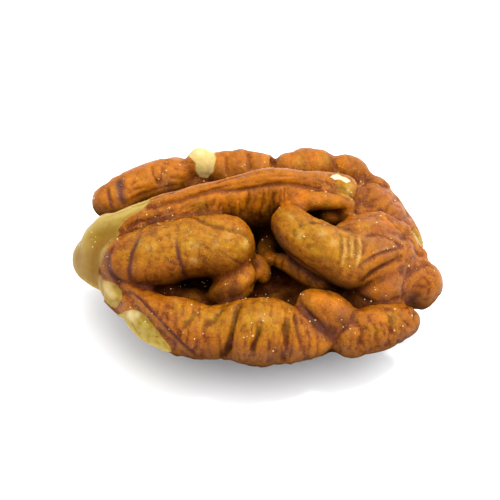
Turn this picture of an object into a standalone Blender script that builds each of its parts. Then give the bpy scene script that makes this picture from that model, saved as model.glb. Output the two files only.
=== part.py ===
"""Half a walnut kernel, resting on its rounded back with the folded inner face up.

The kernel is one grown piece. It is modelled as rolls of flesh laid over a bowl-shaped back and grown
together into one skin, with furrows pressed into the back. Lengths are in millimetres until the last step.
+X runs along the kernel from the broken root tip to the blunt end, +Y to the far rim, +Z up.
"""

import bmesh
import bpy
import numpy as np
from mathutils import Vector, noise
from mathutils.bvhtree import BVHTree

MM = 0.001

# How finely the skin is grown, and how many triangles are kept of it
GRAIN = 0.30
TRIANGLES = 11400

# The back: the lower half of an ellipsoid
BACK_LENGTH = 29.6
BACK_MIDDLE = 0.3
BACK_WIDTH = 20.8
BACK_DEPTH = 6.2
BACK_FACETS = 96

# How finely each roll is drawn
ROLL_SIDES = 48
ROLL_STATIONS = 72

# Furrows of the back: their depth, how far apart they lie along the kernel, and how much they turn round it
FURROW_DEPTH = 0.55
FURROW_SPACING = 2.3
FURROW_TURNS = 3.2
FURROW_SEED = 4.0

# The long furrow down the middle of the back: its depth and half its width
MIDLINE_DEPTH = 0.7
MIDLINE_WIDTH = 1.1

# Where the grooves are sighted from, and the middle of that view
EYE = (-0.6, -106.3, 118.6)
VIEW_MIDDLE = (-0.6, 0.0, 8.5)

# How far the skin turns away from the eye before the furrows start, and where they are full, as cosines
FURROW_START = 0.3
FURROW_FULL = -0.1

# How far out the furrows start above the bowl, and where they are full, as shares of the way to its edge
RIM_START = 0.80
RIM_FULL = 0.95

# The small worn flat the kernel rests on: its rise above the lowest point, and the part without furrows
SPOT_RISE = 0.4
SPOT_LENGTH = 7.0
SPOT_WIDTH = 4.5

# Rolls of flesh. Each row is x, y, z of the middle, then half the width and half the height.
ROLLS = {
    "root tip": [
        (-17.1, 0.9, 6.5, 0.7, 0.8),
        (-16.5, 0.7, 6.6, 1.7, 2.0),
        (-15.8, 0.6, 6.6, 2.4, 2.8),
        (-15.2, 0.6, 6.7, 2.9, 3.4),
        (-14.4, 0.7, 6.7, 3.2, 3.7),
        (-12.9, 1.4, 6.8, 2.7, 3.2),
        (-11.8, 1.6, 7.1, 2.0, 2.5),
    ],
    "spine": [
        (-15.3, 1.7, 7.4, 1.8, 2.5),
        (-13.7, 1.4, 8.2, 2.0, 3.0),
        (-12.1, 1.2, 9.0, 1.9, 3.2),
        (-9.3, 1.8, 9.8, 1.8, 3.2),
        (-6.1, 2.8, 10.2, 1.8, 3.2),
        (-2.5, 3.9, 10.2, 1.8, 3.4),
        (1.3, 4.8, 10.2, 1.9, 3.8),
        (4.5, 5.0, 10.0, 1.9, 3.3),
        (7.4, 5.7, 9.6, 1.7, 2.8),
        (9.6, 6.5, 9.0, 1.3, 2.0),
    ],
    "near left lobe": [
        (-14.1, -2.6, 8.6, 1.7, 1.8),
        (-12.4, -2.3, 9.4, 2.1, 2.1),
        (-10.5, -2.3, 9.8, 2.6, 2.6),
        (-8.7, -2.0, 10.0, 2.9, 2.8),
        (-6.9, -1.6, 10.2, 2.8, 2.8),
        (-5.1, -1.4, 10.3, 2.8, 2.8),
        (-3.1, -1.2, 10.3, 2.9, 2.9),
        (-1.5, -1.4, 10.2, 2.6, 2.6),
        (-0.1, -1.6, 10.0, 2.2, 2.2),
    ],
    "inner knob": [
        (-0.6, -2.4, 9.0, 0.6, 0.8),
        (-0.9, -3.5, 8.6, 0.95, 1.15),
        (-1.6, -4.2, 8.0, 1.3, 1.45),
        (-2.6, -4.4, 7.6, 1.35, 1.4),
        (-3.7, -4.4, 7.2, 1.1, 1.1),
        (-4.5, -4.5, 7.0, 0.7, 0.7),
    ],
    "inner facet": [
        (0.0, -0.8, 8.7, 0.7, 0.8),
        (0.2, -1.7, 8.3, 0.9, 1.0),
        (0.4, -2.2, 7.6, 1.0, 1.1),
        (0.2, -2.6, 6.9, 0.9, 1.0),
    ],
    "left rim": [
        (-14.2, -2.2, 7.4, 1.1, 1.4),
        (-13.1, -3.5, 7.1, 1.4, 1.6),
        (-11.6, -4.7, 6.8, 1.6, 1.8),
        (-9.9, -6.1, 6.5, 1.8, 2.0),
        (-8.1, -7.4, 6.4, 1.9, 2.2),
        (-6.3, -8.7, 6.2, 1.5, 1.8),
    ],
    "near rim": [
        (-12.1, -3.5, 6.9, 1.4, 1.7),
        (-10.3, -6.0, 6.9, 1.9, 2.2),
        (-8.7, -7.3, 6.9, 2.3, 2.5),
        (-6.8, -7.9, 6.8, 2.6, 2.75),
        (-4.6, -8.4, 6.6, 2.4, 2.5),
        (-2.8, -8.3, 6.6, 2.5, 2.6),
        (-0.6, -8.6, 6.9, 2.95, 3.15),
        (1.6, -8.7, 6.9, 2.95, 3.1),
        (3.5, -9.1, 6.5, 2.25, 2.35),
        (5.0, -9.2, 6.2, 1.5, 1.6),
        (6.6, -9.5, 5.9, 1.0, 1.1),
    ],
    "near right knob": [
        (3.7, -5.3, 7.5, 1.1, 1.1),
        (5.0, -6.1, 7.7, 1.55, 1.55),
        (6.4, -6.7, 7.5, 1.85, 1.75),
        (7.7, -6.9, 7.1, 1.55, 1.55),
        (8.8, -7.0, 6.7, 1.1, 1.1),
    ],
    "near right knob foot": [
        (5.3, -5.7, 7.2, 1.5, 1.5),
        (6.2, -7.1, 6.6, 1.6, 1.6),
        (6.7, -8.0, 6.0, 1.1, 1.2),
        (6.6, -8.6, 5.6, 0.8, 0.8),
    ],
    "near right rim": [
        (6.8, -9.3, 5.8, 1.2, 1.3),
        (8.0, -8.7, 5.9, 1.75, 1.8),
        (9.4, -7.9, 6.1, 2.0, 2.15),
        (11.1, -7.4, 6.1, 2.05, 2.2),
        (12.5, -6.8, 6.0, 1.75, 1.9),
        (13.7, -6.2, 5.8, 1.4, 1.5),
        (14.7, -5.4, 5.7, 0.9, 1.0),
    ],
    "right fold": [
        (8.1, -3.3, 6.4, 0.9, 0.9),
        (9.1, -3.5, 6.8, 1.45, 1.4),
        (10.6, -3.4, 7.2, 1.95, 1.85),
        (11.9, -3.2, 7.4, 2.05, 1.95),
        (13.3, -2.6, 7.4, 1.85, 1.8),
        (14.6, -1.5, 7.1, 1.5, 1.5),
        (16.1, -0.5, 6.8, 0.9, 0.9),
    ],
    "groove fold": [
        (9.0, -3.4, 8.8, 1.0, 0.9),
        (10.5, -2.6, 8.8, 1.15, 1.0),
        (12.0, -1.4, 8.6, 1.0, 0.9),
        (14.0, 0.2, 8.0, 0.8, 0.8),
    ],
    "right lobe": [
        (2.0, 2.4, 10.6, 1.3, 1.4),
        (2.9, 1.0, 11.0, 1.7, 1.8),
        (4.2, -0.8, 11.0, 2.1, 2.1),
        (5.8, -1.9, 10.7, 2.3, 2.4),
        (7.3, -2.6, 10.3, 2.4, 2.4),
        (8.6, -3.3, 9.9, 2.2, 2.2),
        (9.7, -3.8, 9.5, 1.9, 1.9),
        (10.4, -4.2, 9.2, 1.6, 1.6),
    ],
    "right lobe swelling": [
        (3.6, -1.0, 11.1, 1.1, 1.1),
        (4.6, -1.6, 11.5, 1.5, 1.5),
        (5.9, -2.0, 11.6, 1.7, 1.7),
        (7.5, -2.3, 11.0, 1.2, 1.3),
    ],
    "right shoulder": [
        (7.7, 1.8, 9.8, 1.1, 1.1),
        (9.3, 1.4, 9.8, 1.3, 1.3),
        (11.0, 2.0, 9.6, 1.3, 1.4),
        (12.7, 1.8, 9.0, 1.3, 1.4),
        (13.8, 1.2, 8.2, 1.2, 1.3),
        (14.4, 0.0, 7.4, 1.0, 1.0),
    ],
    "right shoulder foot": [
        (6.8, -0.4, 10.6, 1.2, 1.2),
        (7.9, -0.2, 10.5, 1.4, 1.4),
        (9.2, -0.1, 10.4, 1.6, 1.5),
        (10.7, 0.3, 10.0, 1.7, 1.5),
        (12.3, 0.6, 9.1, 1.4, 1.4),
        (13.9, 0.5, 8.1, 0.9, 0.9),
    ],
    "end knob": [
        (13.0, -2.0, 5.8, 1.6, 1.8),
        (14.3, -2.1, 5.9, 2.1, 2.3),
        (15.8, -1.9, 5.7, 2.2, 2.3),
        (17.1, -1.8, 5.3, 1.7, 1.9),
    ],
    "small end knob": [
        (13.8, 0.6, 7.6, 0.8, 0.9),
        (14.8, 0.5, 7.4, 0.9, 0.9),
        (15.9, 0.5, 7.0, 0.8, 0.8),
    ],
    "curl": [
        (2.5, 2.7, 11.0, 1.0, 1.0),
        (3.9, 3.1, 11.4, 1.0, 1.0),
        (5.4, 3.2, 11.7, 0.95, 0.95),
        (6.8, 3.4, 11.5, 0.9, 0.9),
        (8.1, 3.6, 10.9, 0.85, 0.85),
        (9.1, 3.6, 10.2, 0.75, 0.75),
    ],
    "inner ridge": [
        (1.5, -0.3, 7.9, 0.7, 0.8),
        (2.9, -1.2, 7.9, 0.9, 0.9),
        (4.2, -2.1, 7.7, 1.0, 1.0),
        (5.6, -3.0, 7.3, 1.0, 1.0),
        (7.0, -3.7, 6.8, 0.9, 0.9),
    ],
    "far left lobe": [
        (-15.2, 6.1, 7.2, 1.3, 1.6),
        (-14.3, 6.5, 7.8, 1.7, 1.95),
        (-13.1, 6.9, 8.2, 2.05, 2.15),
        (-11.5, 7.8, 8.6, 2.0, 2.1),
        (-9.6, 8.6, 8.8, 2.1, 2.15),
        (-7.8, 9.3, 8.8, 2.1, 2.1),
        (-6.0, 9.3, 8.6, 1.5, 1.6),
    ],
    "bare knob": [
        (-6.7, 10.6, 9.4, 1.3, 1.3),
        (-5.4, 10.3, 9.8, 1.55, 1.5),
        (-4.0, 10.4, 9.4, 1.3, 1.3),
    ],
    "far middle lobe": [
        (-4.9, 9.7, 9.2, 1.8, 1.8),
        (-3.3, 9.8, 9.2, 2.0, 2.0),
        (-1.7, 10.0, 9.2, 2.0, 2.0),
        (0.0, 9.8, 9.2, 2.0, 2.0),
        (2.1, 9.6, 9.0, 1.7, 1.7),
    ],
    "far right lobe": [
        (1.4, 9.6, 8.8, 1.8, 1.8),
        (3.0, 9.8, 9.0, 1.9, 1.95),
        (4.7, 10.3, 9.0, 2.05, 2.1),
        (6.1, 10.2, 9.0, 2.0, 2.1),
        (7.8, 9.8, 8.8, 1.6, 1.7),
    ],
    "far right knob": [
        (6.9, 9.8, 8.8, 1.7, 1.7),
        (8.4, 10.2, 8.8, 1.8, 1.8),
        (9.4, 9.9, 8.6, 1.65, 1.65),
        (10.3, 8.9, 8.2, 1.2, 1.2),
    ],
    "back corner knob": [
        (9.9, 8.6, 8.0, 1.2, 1.3),
        (11.3, 8.6, 8.0, 1.3, 1.4),
        (12.3, 7.3, 7.8, 1.1, 1.2),
    ],
    "back right rim": [
        (11.4, 8.0, 7.8, 1.2, 1.3),
        (12.6, 6.4, 7.6, 1.3, 1.4),
        (13.6, 4.8, 7.2, 1.15, 1.3),
        (14.3, 3.1, 6.8, 1.25, 1.4),
        (14.9, 1.4, 6.2, 1.1, 1.2),
    ],
    "blunt end": [
        (8.5, 7.6, 7.6, 1.9, 1.9),
        (10.4, 6.6, 7.9, 2.2, 2.1),
        (11.7, 5.3, 7.5, 2.3, 2.2),
        (12.6, 3.4, 6.9, 2.3, 2.5),
        (13.2, 1.2, 6.2, 2.2, 2.4),
    ],
    "far floor": [
        (-12.6, 7.8, 6.6, 1.8, 1.9),
        (-9.2, 8.7, 7.0, 2.2, 2.2),
        (-5.4, 9.5, 7.0, 2.4, 2.4),
        (-0.6, 9.9, 7.0, 2.4, 2.4),
        (4.2, 9.9, 7.0, 2.4, 2.4),
        (8.6, 9.4, 7.0, 2.3, 2.4),
        (11.3, 8.1, 7.0, 1.9, 2.0),
    ],
    "saddle": [
        (6.9, 6.6, 9.4, 1.1, 1.1),
        (8.8, 6.7, 9.2, 1.2, 1.1),
        (10.5, 6.5, 8.8, 1.1, 1.1),
        (11.7, 6.1, 8.2, 1.0, 1.0),
    ],
    "near rim floor": [
        (-10.8, -3.8, 6.9, 0.9, 0.9),
        (-9.1, -4.0, 6.7, 1.1, 1.1),
        (-7.3, -4.0, 6.4, 1.1, 1.1),
        (-5.5, -4.1, 6.2, 1.1, 1.1),
        (-4.1, -4.3, 6.0, 0.9, 0.9),
    ],
    "middle floor": [
        (1.0, 5.3, 5.8, 0.9, 0.9),
        (1.1, 2.9, 6.6, 1.0, 1.0),
        (0.9, 0.5, 7.6, 1.0, 1.0),
        (0.5, -1.0, 8.0, 0.8, 0.8),
    ],
    "right floor": [
        (6.0, -3.5, 6.3, 0.9, 0.9),
        (7.6, -3.9, 6.0, 1.2, 1.2),
        (9.4, -4.5, 5.9, 1.3, 1.3),
        (11.6, -4.4, 5.8, 1.2, 1.2),
    ],
    "lobe bridge": [
        (5.7, 3.7, 9.2, 0.9, 0.9),
        (7.2, 3.3, 9.4, 1.0, 1.0),
        (8.7, 3.7, 9.2, 0.9, 0.9),
        (10.3, 4.9, 8.8, 0.9, 0.9),
    ],
    "right lobe crest": [
        (2.2, 2.7, 11.0, 1.1, 1.1),
        (3.1, 2.5, 11.1, 1.2, 1.1),
        (3.7, 2.0, 11.0, 1.0, 0.9),
    ],
    "right mass": [
        (7.5, -1.0, 9.7, 2.0, 2.0),
        (9.1, -1.9, 9.9, 2.7, 2.2),
        (10.8, -1.4, 9.6, 2.5, 2.0),
        (12.4, -0.6, 9.0, 2.0, 1.7),
        (14.1, 0.3, 8.2, 1.3, 1.3),
    ],
}

# How blunt an end is, where it isn't a half ball
BLUNT = {"root tip": 0.6}

# Grooves pressed into the skin: depth (below zero for a ridge), half width, and the places it passes,
# measured right and up of the middle of the view
GROOVES = {
    "groove under the right lobe": (0.22, 0.4, [(10.1, -1.5), (10.7, -0.9), (11.6, -0.5), (12.7, -0.1),
        (13.9, 0.3)]),
    "groove of the right shoulder": (0.18, 0.4, [(10.6, 1.3), (11.9, 1.4), (13.0, 1.0), (13.9, 0.5)]),
    "fold over the right lobe": (0.25, 0.5, [(3.9, 1.7), (4.6, 2.3), (6.1, 2.6), (7.6, 2.2),
        (8.4, 1.3), (8.4, 0.2), (8.1, -1.1)]),
    "groove under the right fold": (0.4, 0.45, [(10.5, -2.8), (11.2, -2.1), (12.1, -1.6), (13.0, -1.1),
        (14.0, -0.6)]),
    "crest over the near left lobe": (0.25, 0.5, [(-5.5, 3.0), (-4.1, 2.5), (-3.2, 2.2), (-2.0, 1.9),
        (-0.9, 1.6), (0.0, 0.9)]),
    "vein 3": (0.12, 0.5, [(-6.8, 1.8), (-6.7, 0.4), (-6.5, -0.6), (-6.3, -1.3), (-6.0, -2.2),
        (-5.7, -2.8)]),
    "vein 2": (0.2, 0.5, [(-9.6, 2.2), (-10.4, 0.6), (-10.8, -0.4), (-11.0, -1.3), (-11.1, -2.0),
        (-10.7, -3.2)]),
    "vein 1": (0.25, 0.5, [(-12.6, 0.4), (-13.0, -0.7), (-13.1, -1.3), (-12.7, -2.2), (-11.9, -3.0)]),
    "far left 1": (0.3, 0.5, [(-13.1, 5.5), (-13.0, 5.0), (-12.7, 4.3), (-12.3, 3.6)]),
    "far left 2": (0.3, 0.5, [(-12.1, 6.3), (-12.0, 5.7), (-11.8, 4.9), (-11.5, 4.1)]),
    "far left 3": (0.3, 0.55, [(-7.7, 8.1), (-7.9, 7.2), (-8.3, 6.2)]),
    "rib 1": (0.45, 0.5, [(-1.1, -4.9), (-1.4, -5.7), (-1.7, -6.9), (-1.9, -8.3), (-2.3, -9.4),
        (-2.5, -9.9)]),
    "rib 2": (0.3, 0.5, [(0.8, -6.6), (0.6, -7.5), (0.5, -8.3), (0.2, -9.7)]),
    "rib 3": (0.4, 0.5, [(3.4, -5.3), (3.3, -7.3), (3.5, -8.7), (3.1, -10.1)]),
    "rib 4": (0.3, 0.45, [(4.2, -6.0), (4.5, -7.8), (5.0, -9.4)]),
    "rib 5": (0.3, 0.45, [(4.9, -6.4), (5.1, -7.7)]),
    "rib 6": (0.25, 0.5, [(-6.8, -8.1), (-5.9, -6.8), (-5.0, -5.7)]),
    "rib 7": (0.25, 0.5, [(-4.3, -7.4), (-3.4, -6.3), (-2.5, -5.5)]),
    "ridge of the near rim": (-0.35, 0.5, [(-11.8, -3.1), (-10.7, -3.8), (-10.1, -4.8), (-9.2, -5.7),
        (-8.3, -6.6), (-7.3, -7.5), (-6.4, -8.4), (-5.7, -9.2), (-5.1, -9.6)]),
    "furrow beside that ridge": (0.2, 0.45, [(-12.1, -3.5), (-11.2, -4.2), (-10.6, -5.1), (-9.6, -6.2),
        (-8.7, -7.1), (-7.8, -8.0), (-7.0, -8.7)]),
    "far middle 1": (0.35, 0.5, [(-2.2, 8.7), (-2.2, 7.9), (-2.0, 7.2)]),
    "far middle 2": (0.35, 0.5, [(-0.2, 9.0), (-0.1, 8.3), (0.0, 7.5)]),
    "far gap": (0.4, 0.5, [(2.1, 8.4), (2.1, 7.8)]),
    "spine crest": (0.35, 0.5, [(-9.6, 3.9), (-7.8, 4.1), (-5.5, 4.8), (-3.2, 5.4), (-0.9, 5.5),
        (1.1, 5.9), (2.8, 6.1), (4.6, 6.0), (6.4, 5.6)]),
    "spine flank 1": (0.25, 0.4, [(1.1, 5.3), (1.3, 4.1), (1.1, 3.0)]),
    "spine flank 2": (0.25, 0.4, [(1.9, 5.5), (2.0, 4.3), (1.9, 3.1)]),
    "spine flank 3": (0.25, 0.45, [(-0.2, 5.1), (-0.3, 4.2), (-0.6, 3.3)]),
    "spine flank 4": (0.2, 0.4, [(3.2, 5.5), (3.2, 4.2)]),
    "back corner 1": (0.15, 0.6, [(11.1, 6.7), (10.6, 5.9), (9.9, 5.1)]),
    "back corner 2": (0.15, 0.6, [(12.4, 5.9), (11.9, 5.0), (11.0, 4.2)]),
    "back corner 3": (0.15, 0.6, [(13.4, 4.9), (12.8, 4.0), (11.9, 3.5)]),
    "back right 1": (0.2, 0.6, [(14.5, 3.3), (13.7, 2.9), (13.0, 2.8)]),
    "back right 2": (0.35, 0.55, [(15.3, 1.7), (14.5, 1.5), (14.0, 1.1)]),
    "end 1": (0.4, 0.6, [(16.0, -1.1), (15.1, -1.8), (14.1, -2.2)]),
    "tip facet": (-0.1, 0.6, [(-15.6, -0.6), (-14.5, -0.1), (-13.2, 0.3), (-12.1, 0.6)]),
    "tip notch": (0.15, 0.5, [(-16.0, -0.6), (-15.5, -0.5), (-14.9, -0.4)]),
    "rim 8": (0.3, 0.6, [(9.7, -6.6), (10.3, -7.8), (10.1, -9.2)]),
    "rim 9": (0.3, 0.6, [(12.7, -5.3), (13.0, -6.6), (12.7, -8.7)]),
}


def clear_scene():
    """Starts from an empty scene."""
    for old in list(bpy.data.objects):
        bpy.data.objects.remove(old)


def smooth_rows(rows, count):
    """A smooth curve through rows of numbers, with its stations closer together near both ends."""
    rows = np.array(rows, float)
    steps = np.linalg.norm(np.diff(rows[:, :3], axis=0), axis=1)
    along = np.concatenate([[0.0], np.cumsum(steps)])
    wanted = along[-1] * (1 - np.cos(np.linspace(0, np.pi, count))) / 2
    slopes = np.gradient(rows, along, axis=0)
    piece = np.clip(np.searchsorted(along, wanted, side="right") - 1, 0, len(rows) - 2)
    gap = (along[piece + 1] - along[piece])[:, None]
    t = (wanted[:, None] - along[piece][:, None]) / gap
    made = (2 * t**3 - 3 * t**2 + 1) * rows[piece]
    made += (t**3 - 2 * t**2 + t) * gap * slopes[piece]
    made += (3 * t**2 - 2 * t**3) * rows[piece + 1]
    made += (t**3 - t**2) * gap * slopes[piece + 1]
    return made, wanted


def bell(distance):
    """A smooth bell, 1 at 0 and gone beyond 1."""
    return np.clip(1 - distance**2, 0, 1) ** 2


def roll_rings(rows, blunt):
    """The roll's cross sections, one ring of points per station, ending in a rounded cap on both sides."""
    made, along = smooth_rows(rows, ROLL_STATIONS)
    path, half = made[:, :3], made[:, 3:5]
    length = along[-1]
    tangent = np.gradient(path, along, axis=0)
    tangent /= np.linalg.norm(tangent, axis=1)[:, None]
    across = np.cross(tangent, (0.0, 0.0, 1.0))
    across /= np.linalg.norm(across, axis=1)[:, None]
    upward = np.cross(across, tangent)
    cap_start = 1 - along / (half[0].mean() * blunt)
    cap_end = 1 - (length - along) / (half[-1].mean() * blunt)
    cap = np.clip(np.maximum(cap_start, cap_end), 0, 1)
    rounded = np.sqrt(1 - cap**2)[:, None]
    turn = np.linspace(0, 2 * np.pi, ROLL_SIDES, endpoint=False)[None, :]
    wide = half[:, :1] * rounded * np.cos(turn)
    high = half[:, 1:] * rounded * np.sin(turn)
    return path[:, None] + wide[..., None] * across[:, None] + high[..., None] * upward[:, None]


def roll(name):
    """Points and faces of one rounded roll of flesh."""
    rings = roll_rings(ROLLS[name], BLUNT.get(name, 1.0))
    kept = ROLL_STATIONS - 2
    points = np.concatenate([rings[1:-1].reshape(-1, 3), rings[0, :1], rings[-1, :1]])
    pole_start, pole_end = kept * ROLL_SIDES, kept * ROLL_SIDES + 1
    faces = []
    for j in range(ROLL_SIDES):
        k = (j + 1) % ROLL_SIDES
        faces.append((pole_start, k, j))
        for i in range(kept - 1):
            low, high = i * ROLL_SIDES, (i + 1) * ROLL_SIDES
            faces.append((low + j, low + k, high + k, high + j))
        last = (kept - 1) * ROLL_SIDES
        faces.append((pole_end, last + j, last + k))
    return points, faces


def back_bowl():
    """The rounded back under the rolls."""
    mesh = bmesh.new()
    bmesh.ops.create_uvsphere(mesh, u_segments=BACK_FACETS, v_segments=BACK_FACETS // 2, radius=1.0)
    points = np.array([v.co for v in mesh.verts])
    faces = [[v.index for v in f.verts] for f in mesh.faces]
    mesh.free()
    points[:, 2] = np.minimum(points[:, 2], 0.06 * points[:, 2])
    points *= (BACK_LENGTH / 2, BACK_WIDTH / 2, BACK_DEPTH)
    points += (BACK_MIDDLE, 0.0, BACK_DEPTH)
    return points, faces


def joined(shapes):
    """One mesh of all the shapes, still overlapping."""
    points, faces, start = [], [], 0
    for shape_points, shape_faces in shapes:
        points.append(shape_points)
        faces.extend([tuple(int(i) + start for i in face) for face in shape_faces])
        start += len(shape_points)
    mesh = bpy.data.meshes.new("rolls")
    mesh.from_pydata(np.concatenate(points).tolist(), [], faces)
    return mesh


def with_modifiers(mesh, settings):
    """The mesh after these modifiers, as a new mesh."""
    holder = bpy.data.objects.new("holder", mesh)
    bpy.context.scene.collection.objects.link(holder)
    for kind, values in settings:
        modifier = holder.modifiers.new(kind, kind)
        for name, value in values.items():
            setattr(modifier, name, value)
    graph = bpy.context.evaluated_depsgraph_get()
    made = bpy.data.meshes.new_from_object(holder.evaluated_get(graph))
    bpy.data.objects.remove(holder)
    return made


def outer_skin(mesh):
    """The mesh without the closed pockets left inside between the rolls."""
    work = bmesh.new()
    work.from_mesh(mesh)
    unseen = set(work.verts)
    largest = set()
    while unseen:
        island, edge = set(), {unseen.pop()}
        while edge:
            island |= edge
            edge = {e.other_vert(v) for v in edge for e in v.link_edges} - island
        unseen -= island
        largest = max(largest, island, key=len)
    bmesh.ops.delete(work, geom=[v for v in work.verts if v not in largest], context="VERTS")
    work.to_mesh(mesh)
    work.free()


def points_of(mesh):
    points = np.empty(len(mesh.vertices) * 3)
    mesh.vertices.foreach_get("co", points)
    return points.reshape(-1, 3)


def normals_of(mesh):
    normals = np.empty(len(mesh.vertices) * 3)
    mesh.vertices.foreach_get("normal", normals)
    return normals.reshape(-1, 3)


def view_axes():
    """Right, up and towards the eye, in the view the grooves are sighted in."""
    towards = (Vector(EYE) - Vector(VIEW_MIDDLE)).normalized()
    right = Vector((1.0, 0.0, 0.0))
    return right, towards.cross(right), towards


def sighted(tree, across, up):
    """The place on the skin seen this far right of and above the middle of the view."""
    right, upward, _ = view_axes()
    through = Vector(VIEW_MIDDLE) + across * right + up * upward
    return tree.ray_cast(Vector(EYE), through - Vector(EYE))[0]


def distance_to(line, points):
    """How far each point is from a line through several places."""
    nearest = np.full(len(points), np.inf)
    for start, end in zip(line[:-1], line[1:]):
        step = end - start
        t = np.clip((points - start) @ step / (step @ step), 0, 1)
        gap = np.linalg.norm(points - start - t[:, None] * step, axis=1)
        nearest = np.minimum(nearest, gap)
    return nearest


def press_grooves(mesh):
    """Presses the grooves of the inner face and the rims into the skin."""
    tree = BVHTree.FromPolygons([v.co for v in mesh.vertices], [p.vertices for p in mesh.polygons])
    points, normals = points_of(mesh), normals_of(mesh)
    for depth, half_width, places in GROOVES.values():
        line = np.array([sighted(tree, across, up) for across, up in places])
        gap = distance_to(line, points)
        points = points - normals * (depth * bell(gap / half_width))[:, None]
    mesh.vertices.foreach_set("co", points.ravel())
    mesh.update()


def furrow_at(point):
    """How deep a furrow of the back is here, 0 to 1. Furrows run from the midline to the rims and wander."""
    turn = np.arctan2(point[1], BACK_DEPTH + 1.0 - point[2])
    place = Vector((point[0] / FURROW_SPACING, turn * FURROW_TURNS / np.pi, FURROW_SEED))
    wander = noise.noise_vector(place * 0.8) * 0.9
    return bell(abs(noise.noise(place + wander)) / 0.22)


def press_back(mesh):
    """Presses the furrows and the midline into the back and the outer sides of the rims."""
    points, normals = points_of(mesh), normals_of(mesh)
    facing = normals @ np.array(view_axes()[2])
    off_spot = np.hypot(points[:, 0] / SPOT_LENGTH, points[:, 1] / SPOT_WIDTH) * 2
    fade = np.clip((FURROW_START - facing) / (FURROW_START - FURROW_FULL), 0, 1)
    fade *= np.clip((off_spot - 1) / 0.5, 0, 1)
    outwards = np.hypot(points[:, 0] / BACK_LENGTH, points[:, 1] / BACK_WIDTH) * 2
    on_rim = np.clip((outwards - RIM_START) / (RIM_FULL - RIM_START), 0, 1)
    fade *= np.maximum(on_rim, np.clip(BACK_DEPTH - points[:, 2], 0, 1))
    depth = np.zeros(len(points))
    for i in np.flatnonzero(fade):
        depth[i] = FURROW_DEPTH * furrow_at(points[i])
    below = np.clip((BACK_DEPTH - points[:, 2]) / 2, 0, 1)
    depth = np.maximum(depth, MIDLINE_DEPTH * below * bell(points[:, 1] / MIDLINE_WIDTH))
    points -= normals * (depth * fade)[:, None]
    mesh.vertices.foreach_set("co", points.ravel())
    mesh.update()


def rest_flat(mesh):
    """Wears the lowest point to a small flat, and sets the kernel down on it, centred."""
    points = points_of(mesh)
    lowest = points[:, 2].min() + SPOT_RISE
    points[:, 2] = np.maximum(points[:, 2], lowest)
    middle = (points.min(axis=0) + points.max(axis=0)) / 2
    points -= (middle[0], middle[1], lowest)
    mesh.vertices.foreach_set("co", (points * MM).ravel())
    mesh.update()


def walnut_skin():
    """Plain walnut skin."""
    skin = bpy.data.materials.new("walnut skin")
    skin.use_nodes = True
    shader = skin.node_tree.nodes["Principled BSDF"]
    shader.inputs["Base Color"].default_value = (0.43, 0.19, 0.06, 1.0)
    shader.inputs["Roughness"].default_value = 0.42
    return skin


def main():
    clear_scene()
    shapes = [back_bowl()] + [roll(name) for name in ROLLS]
    grow = ("REMESH", {"mode": "VOXEL", "voxel_size": GRAIN})
    soften = ("SMOOTH", {"factor": 0.5, "iterations": 2})
    mesh = with_modifiers(joined(shapes), [grow, soften])
    outer_skin(mesh)
    press_grooves(mesh)
    press_back(mesh)
    share = TRIANGLES / (2 * len(mesh.polygons))
    mesh = with_modifiers(mesh, [("DECIMATE", {"ratio": share})])
    rest_flat(mesh)
    mesh.name = "kernel"
    mesh.materials.append(walnut_skin())
    kernel = bpy.data.objects.new("kernel", mesh)
    bpy.context.scene.collection.objects.link(kernel)


main()
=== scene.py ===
# %% [markdown]
# # A walnut half kernel
# A shelled half is one grown piece: a folded kernel in a thin papery skin, with pale flesh where the skin has
# rubbed off. The CAD gives its whole form. This script gives its skin: a finer surface with the veins, creases
# and wrinkles pressed in, the bare places, the colours, and the loose crumbs that lie on it. A colour texture
# alone could draw the wrinkles, but they'd stay flat under a moving light, so they are made as real relief.

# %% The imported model
import math

import bpy
import numpy as np
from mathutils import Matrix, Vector, kdtree, noise
from mathutils.bvhtree import BVHTree


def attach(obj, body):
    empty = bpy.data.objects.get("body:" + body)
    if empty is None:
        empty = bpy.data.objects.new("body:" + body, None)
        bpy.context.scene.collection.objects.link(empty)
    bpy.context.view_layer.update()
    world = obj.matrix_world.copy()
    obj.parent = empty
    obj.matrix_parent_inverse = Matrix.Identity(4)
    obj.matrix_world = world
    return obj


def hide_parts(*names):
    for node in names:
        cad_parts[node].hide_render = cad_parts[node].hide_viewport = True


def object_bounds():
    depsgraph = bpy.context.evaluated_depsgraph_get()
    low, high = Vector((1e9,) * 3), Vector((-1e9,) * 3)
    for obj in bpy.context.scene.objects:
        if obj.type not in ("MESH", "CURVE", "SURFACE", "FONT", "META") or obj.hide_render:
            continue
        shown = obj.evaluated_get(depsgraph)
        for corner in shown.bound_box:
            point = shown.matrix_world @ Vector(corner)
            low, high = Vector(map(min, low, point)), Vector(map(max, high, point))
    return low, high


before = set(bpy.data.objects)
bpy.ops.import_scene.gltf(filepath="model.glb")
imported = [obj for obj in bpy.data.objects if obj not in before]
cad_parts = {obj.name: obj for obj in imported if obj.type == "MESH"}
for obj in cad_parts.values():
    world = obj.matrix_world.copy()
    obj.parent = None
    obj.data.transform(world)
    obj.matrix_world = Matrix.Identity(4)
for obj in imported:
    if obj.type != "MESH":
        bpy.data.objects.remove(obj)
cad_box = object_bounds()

MM = 0.001
print("CAD box in mm:", [[round(c / MM, 2) for c in corner] for corner in cad_box])

# %% [markdown]
# ## Camera
# The camera comes first, because the veins and creases are placed by their pixels in a 500 by 500 frame. They
# could be placed in metres instead, but each would then be a guess in three directions rather than a reading
# in two. A long lens, 46 degrees above the table, gives the view's flat perspective.

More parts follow.
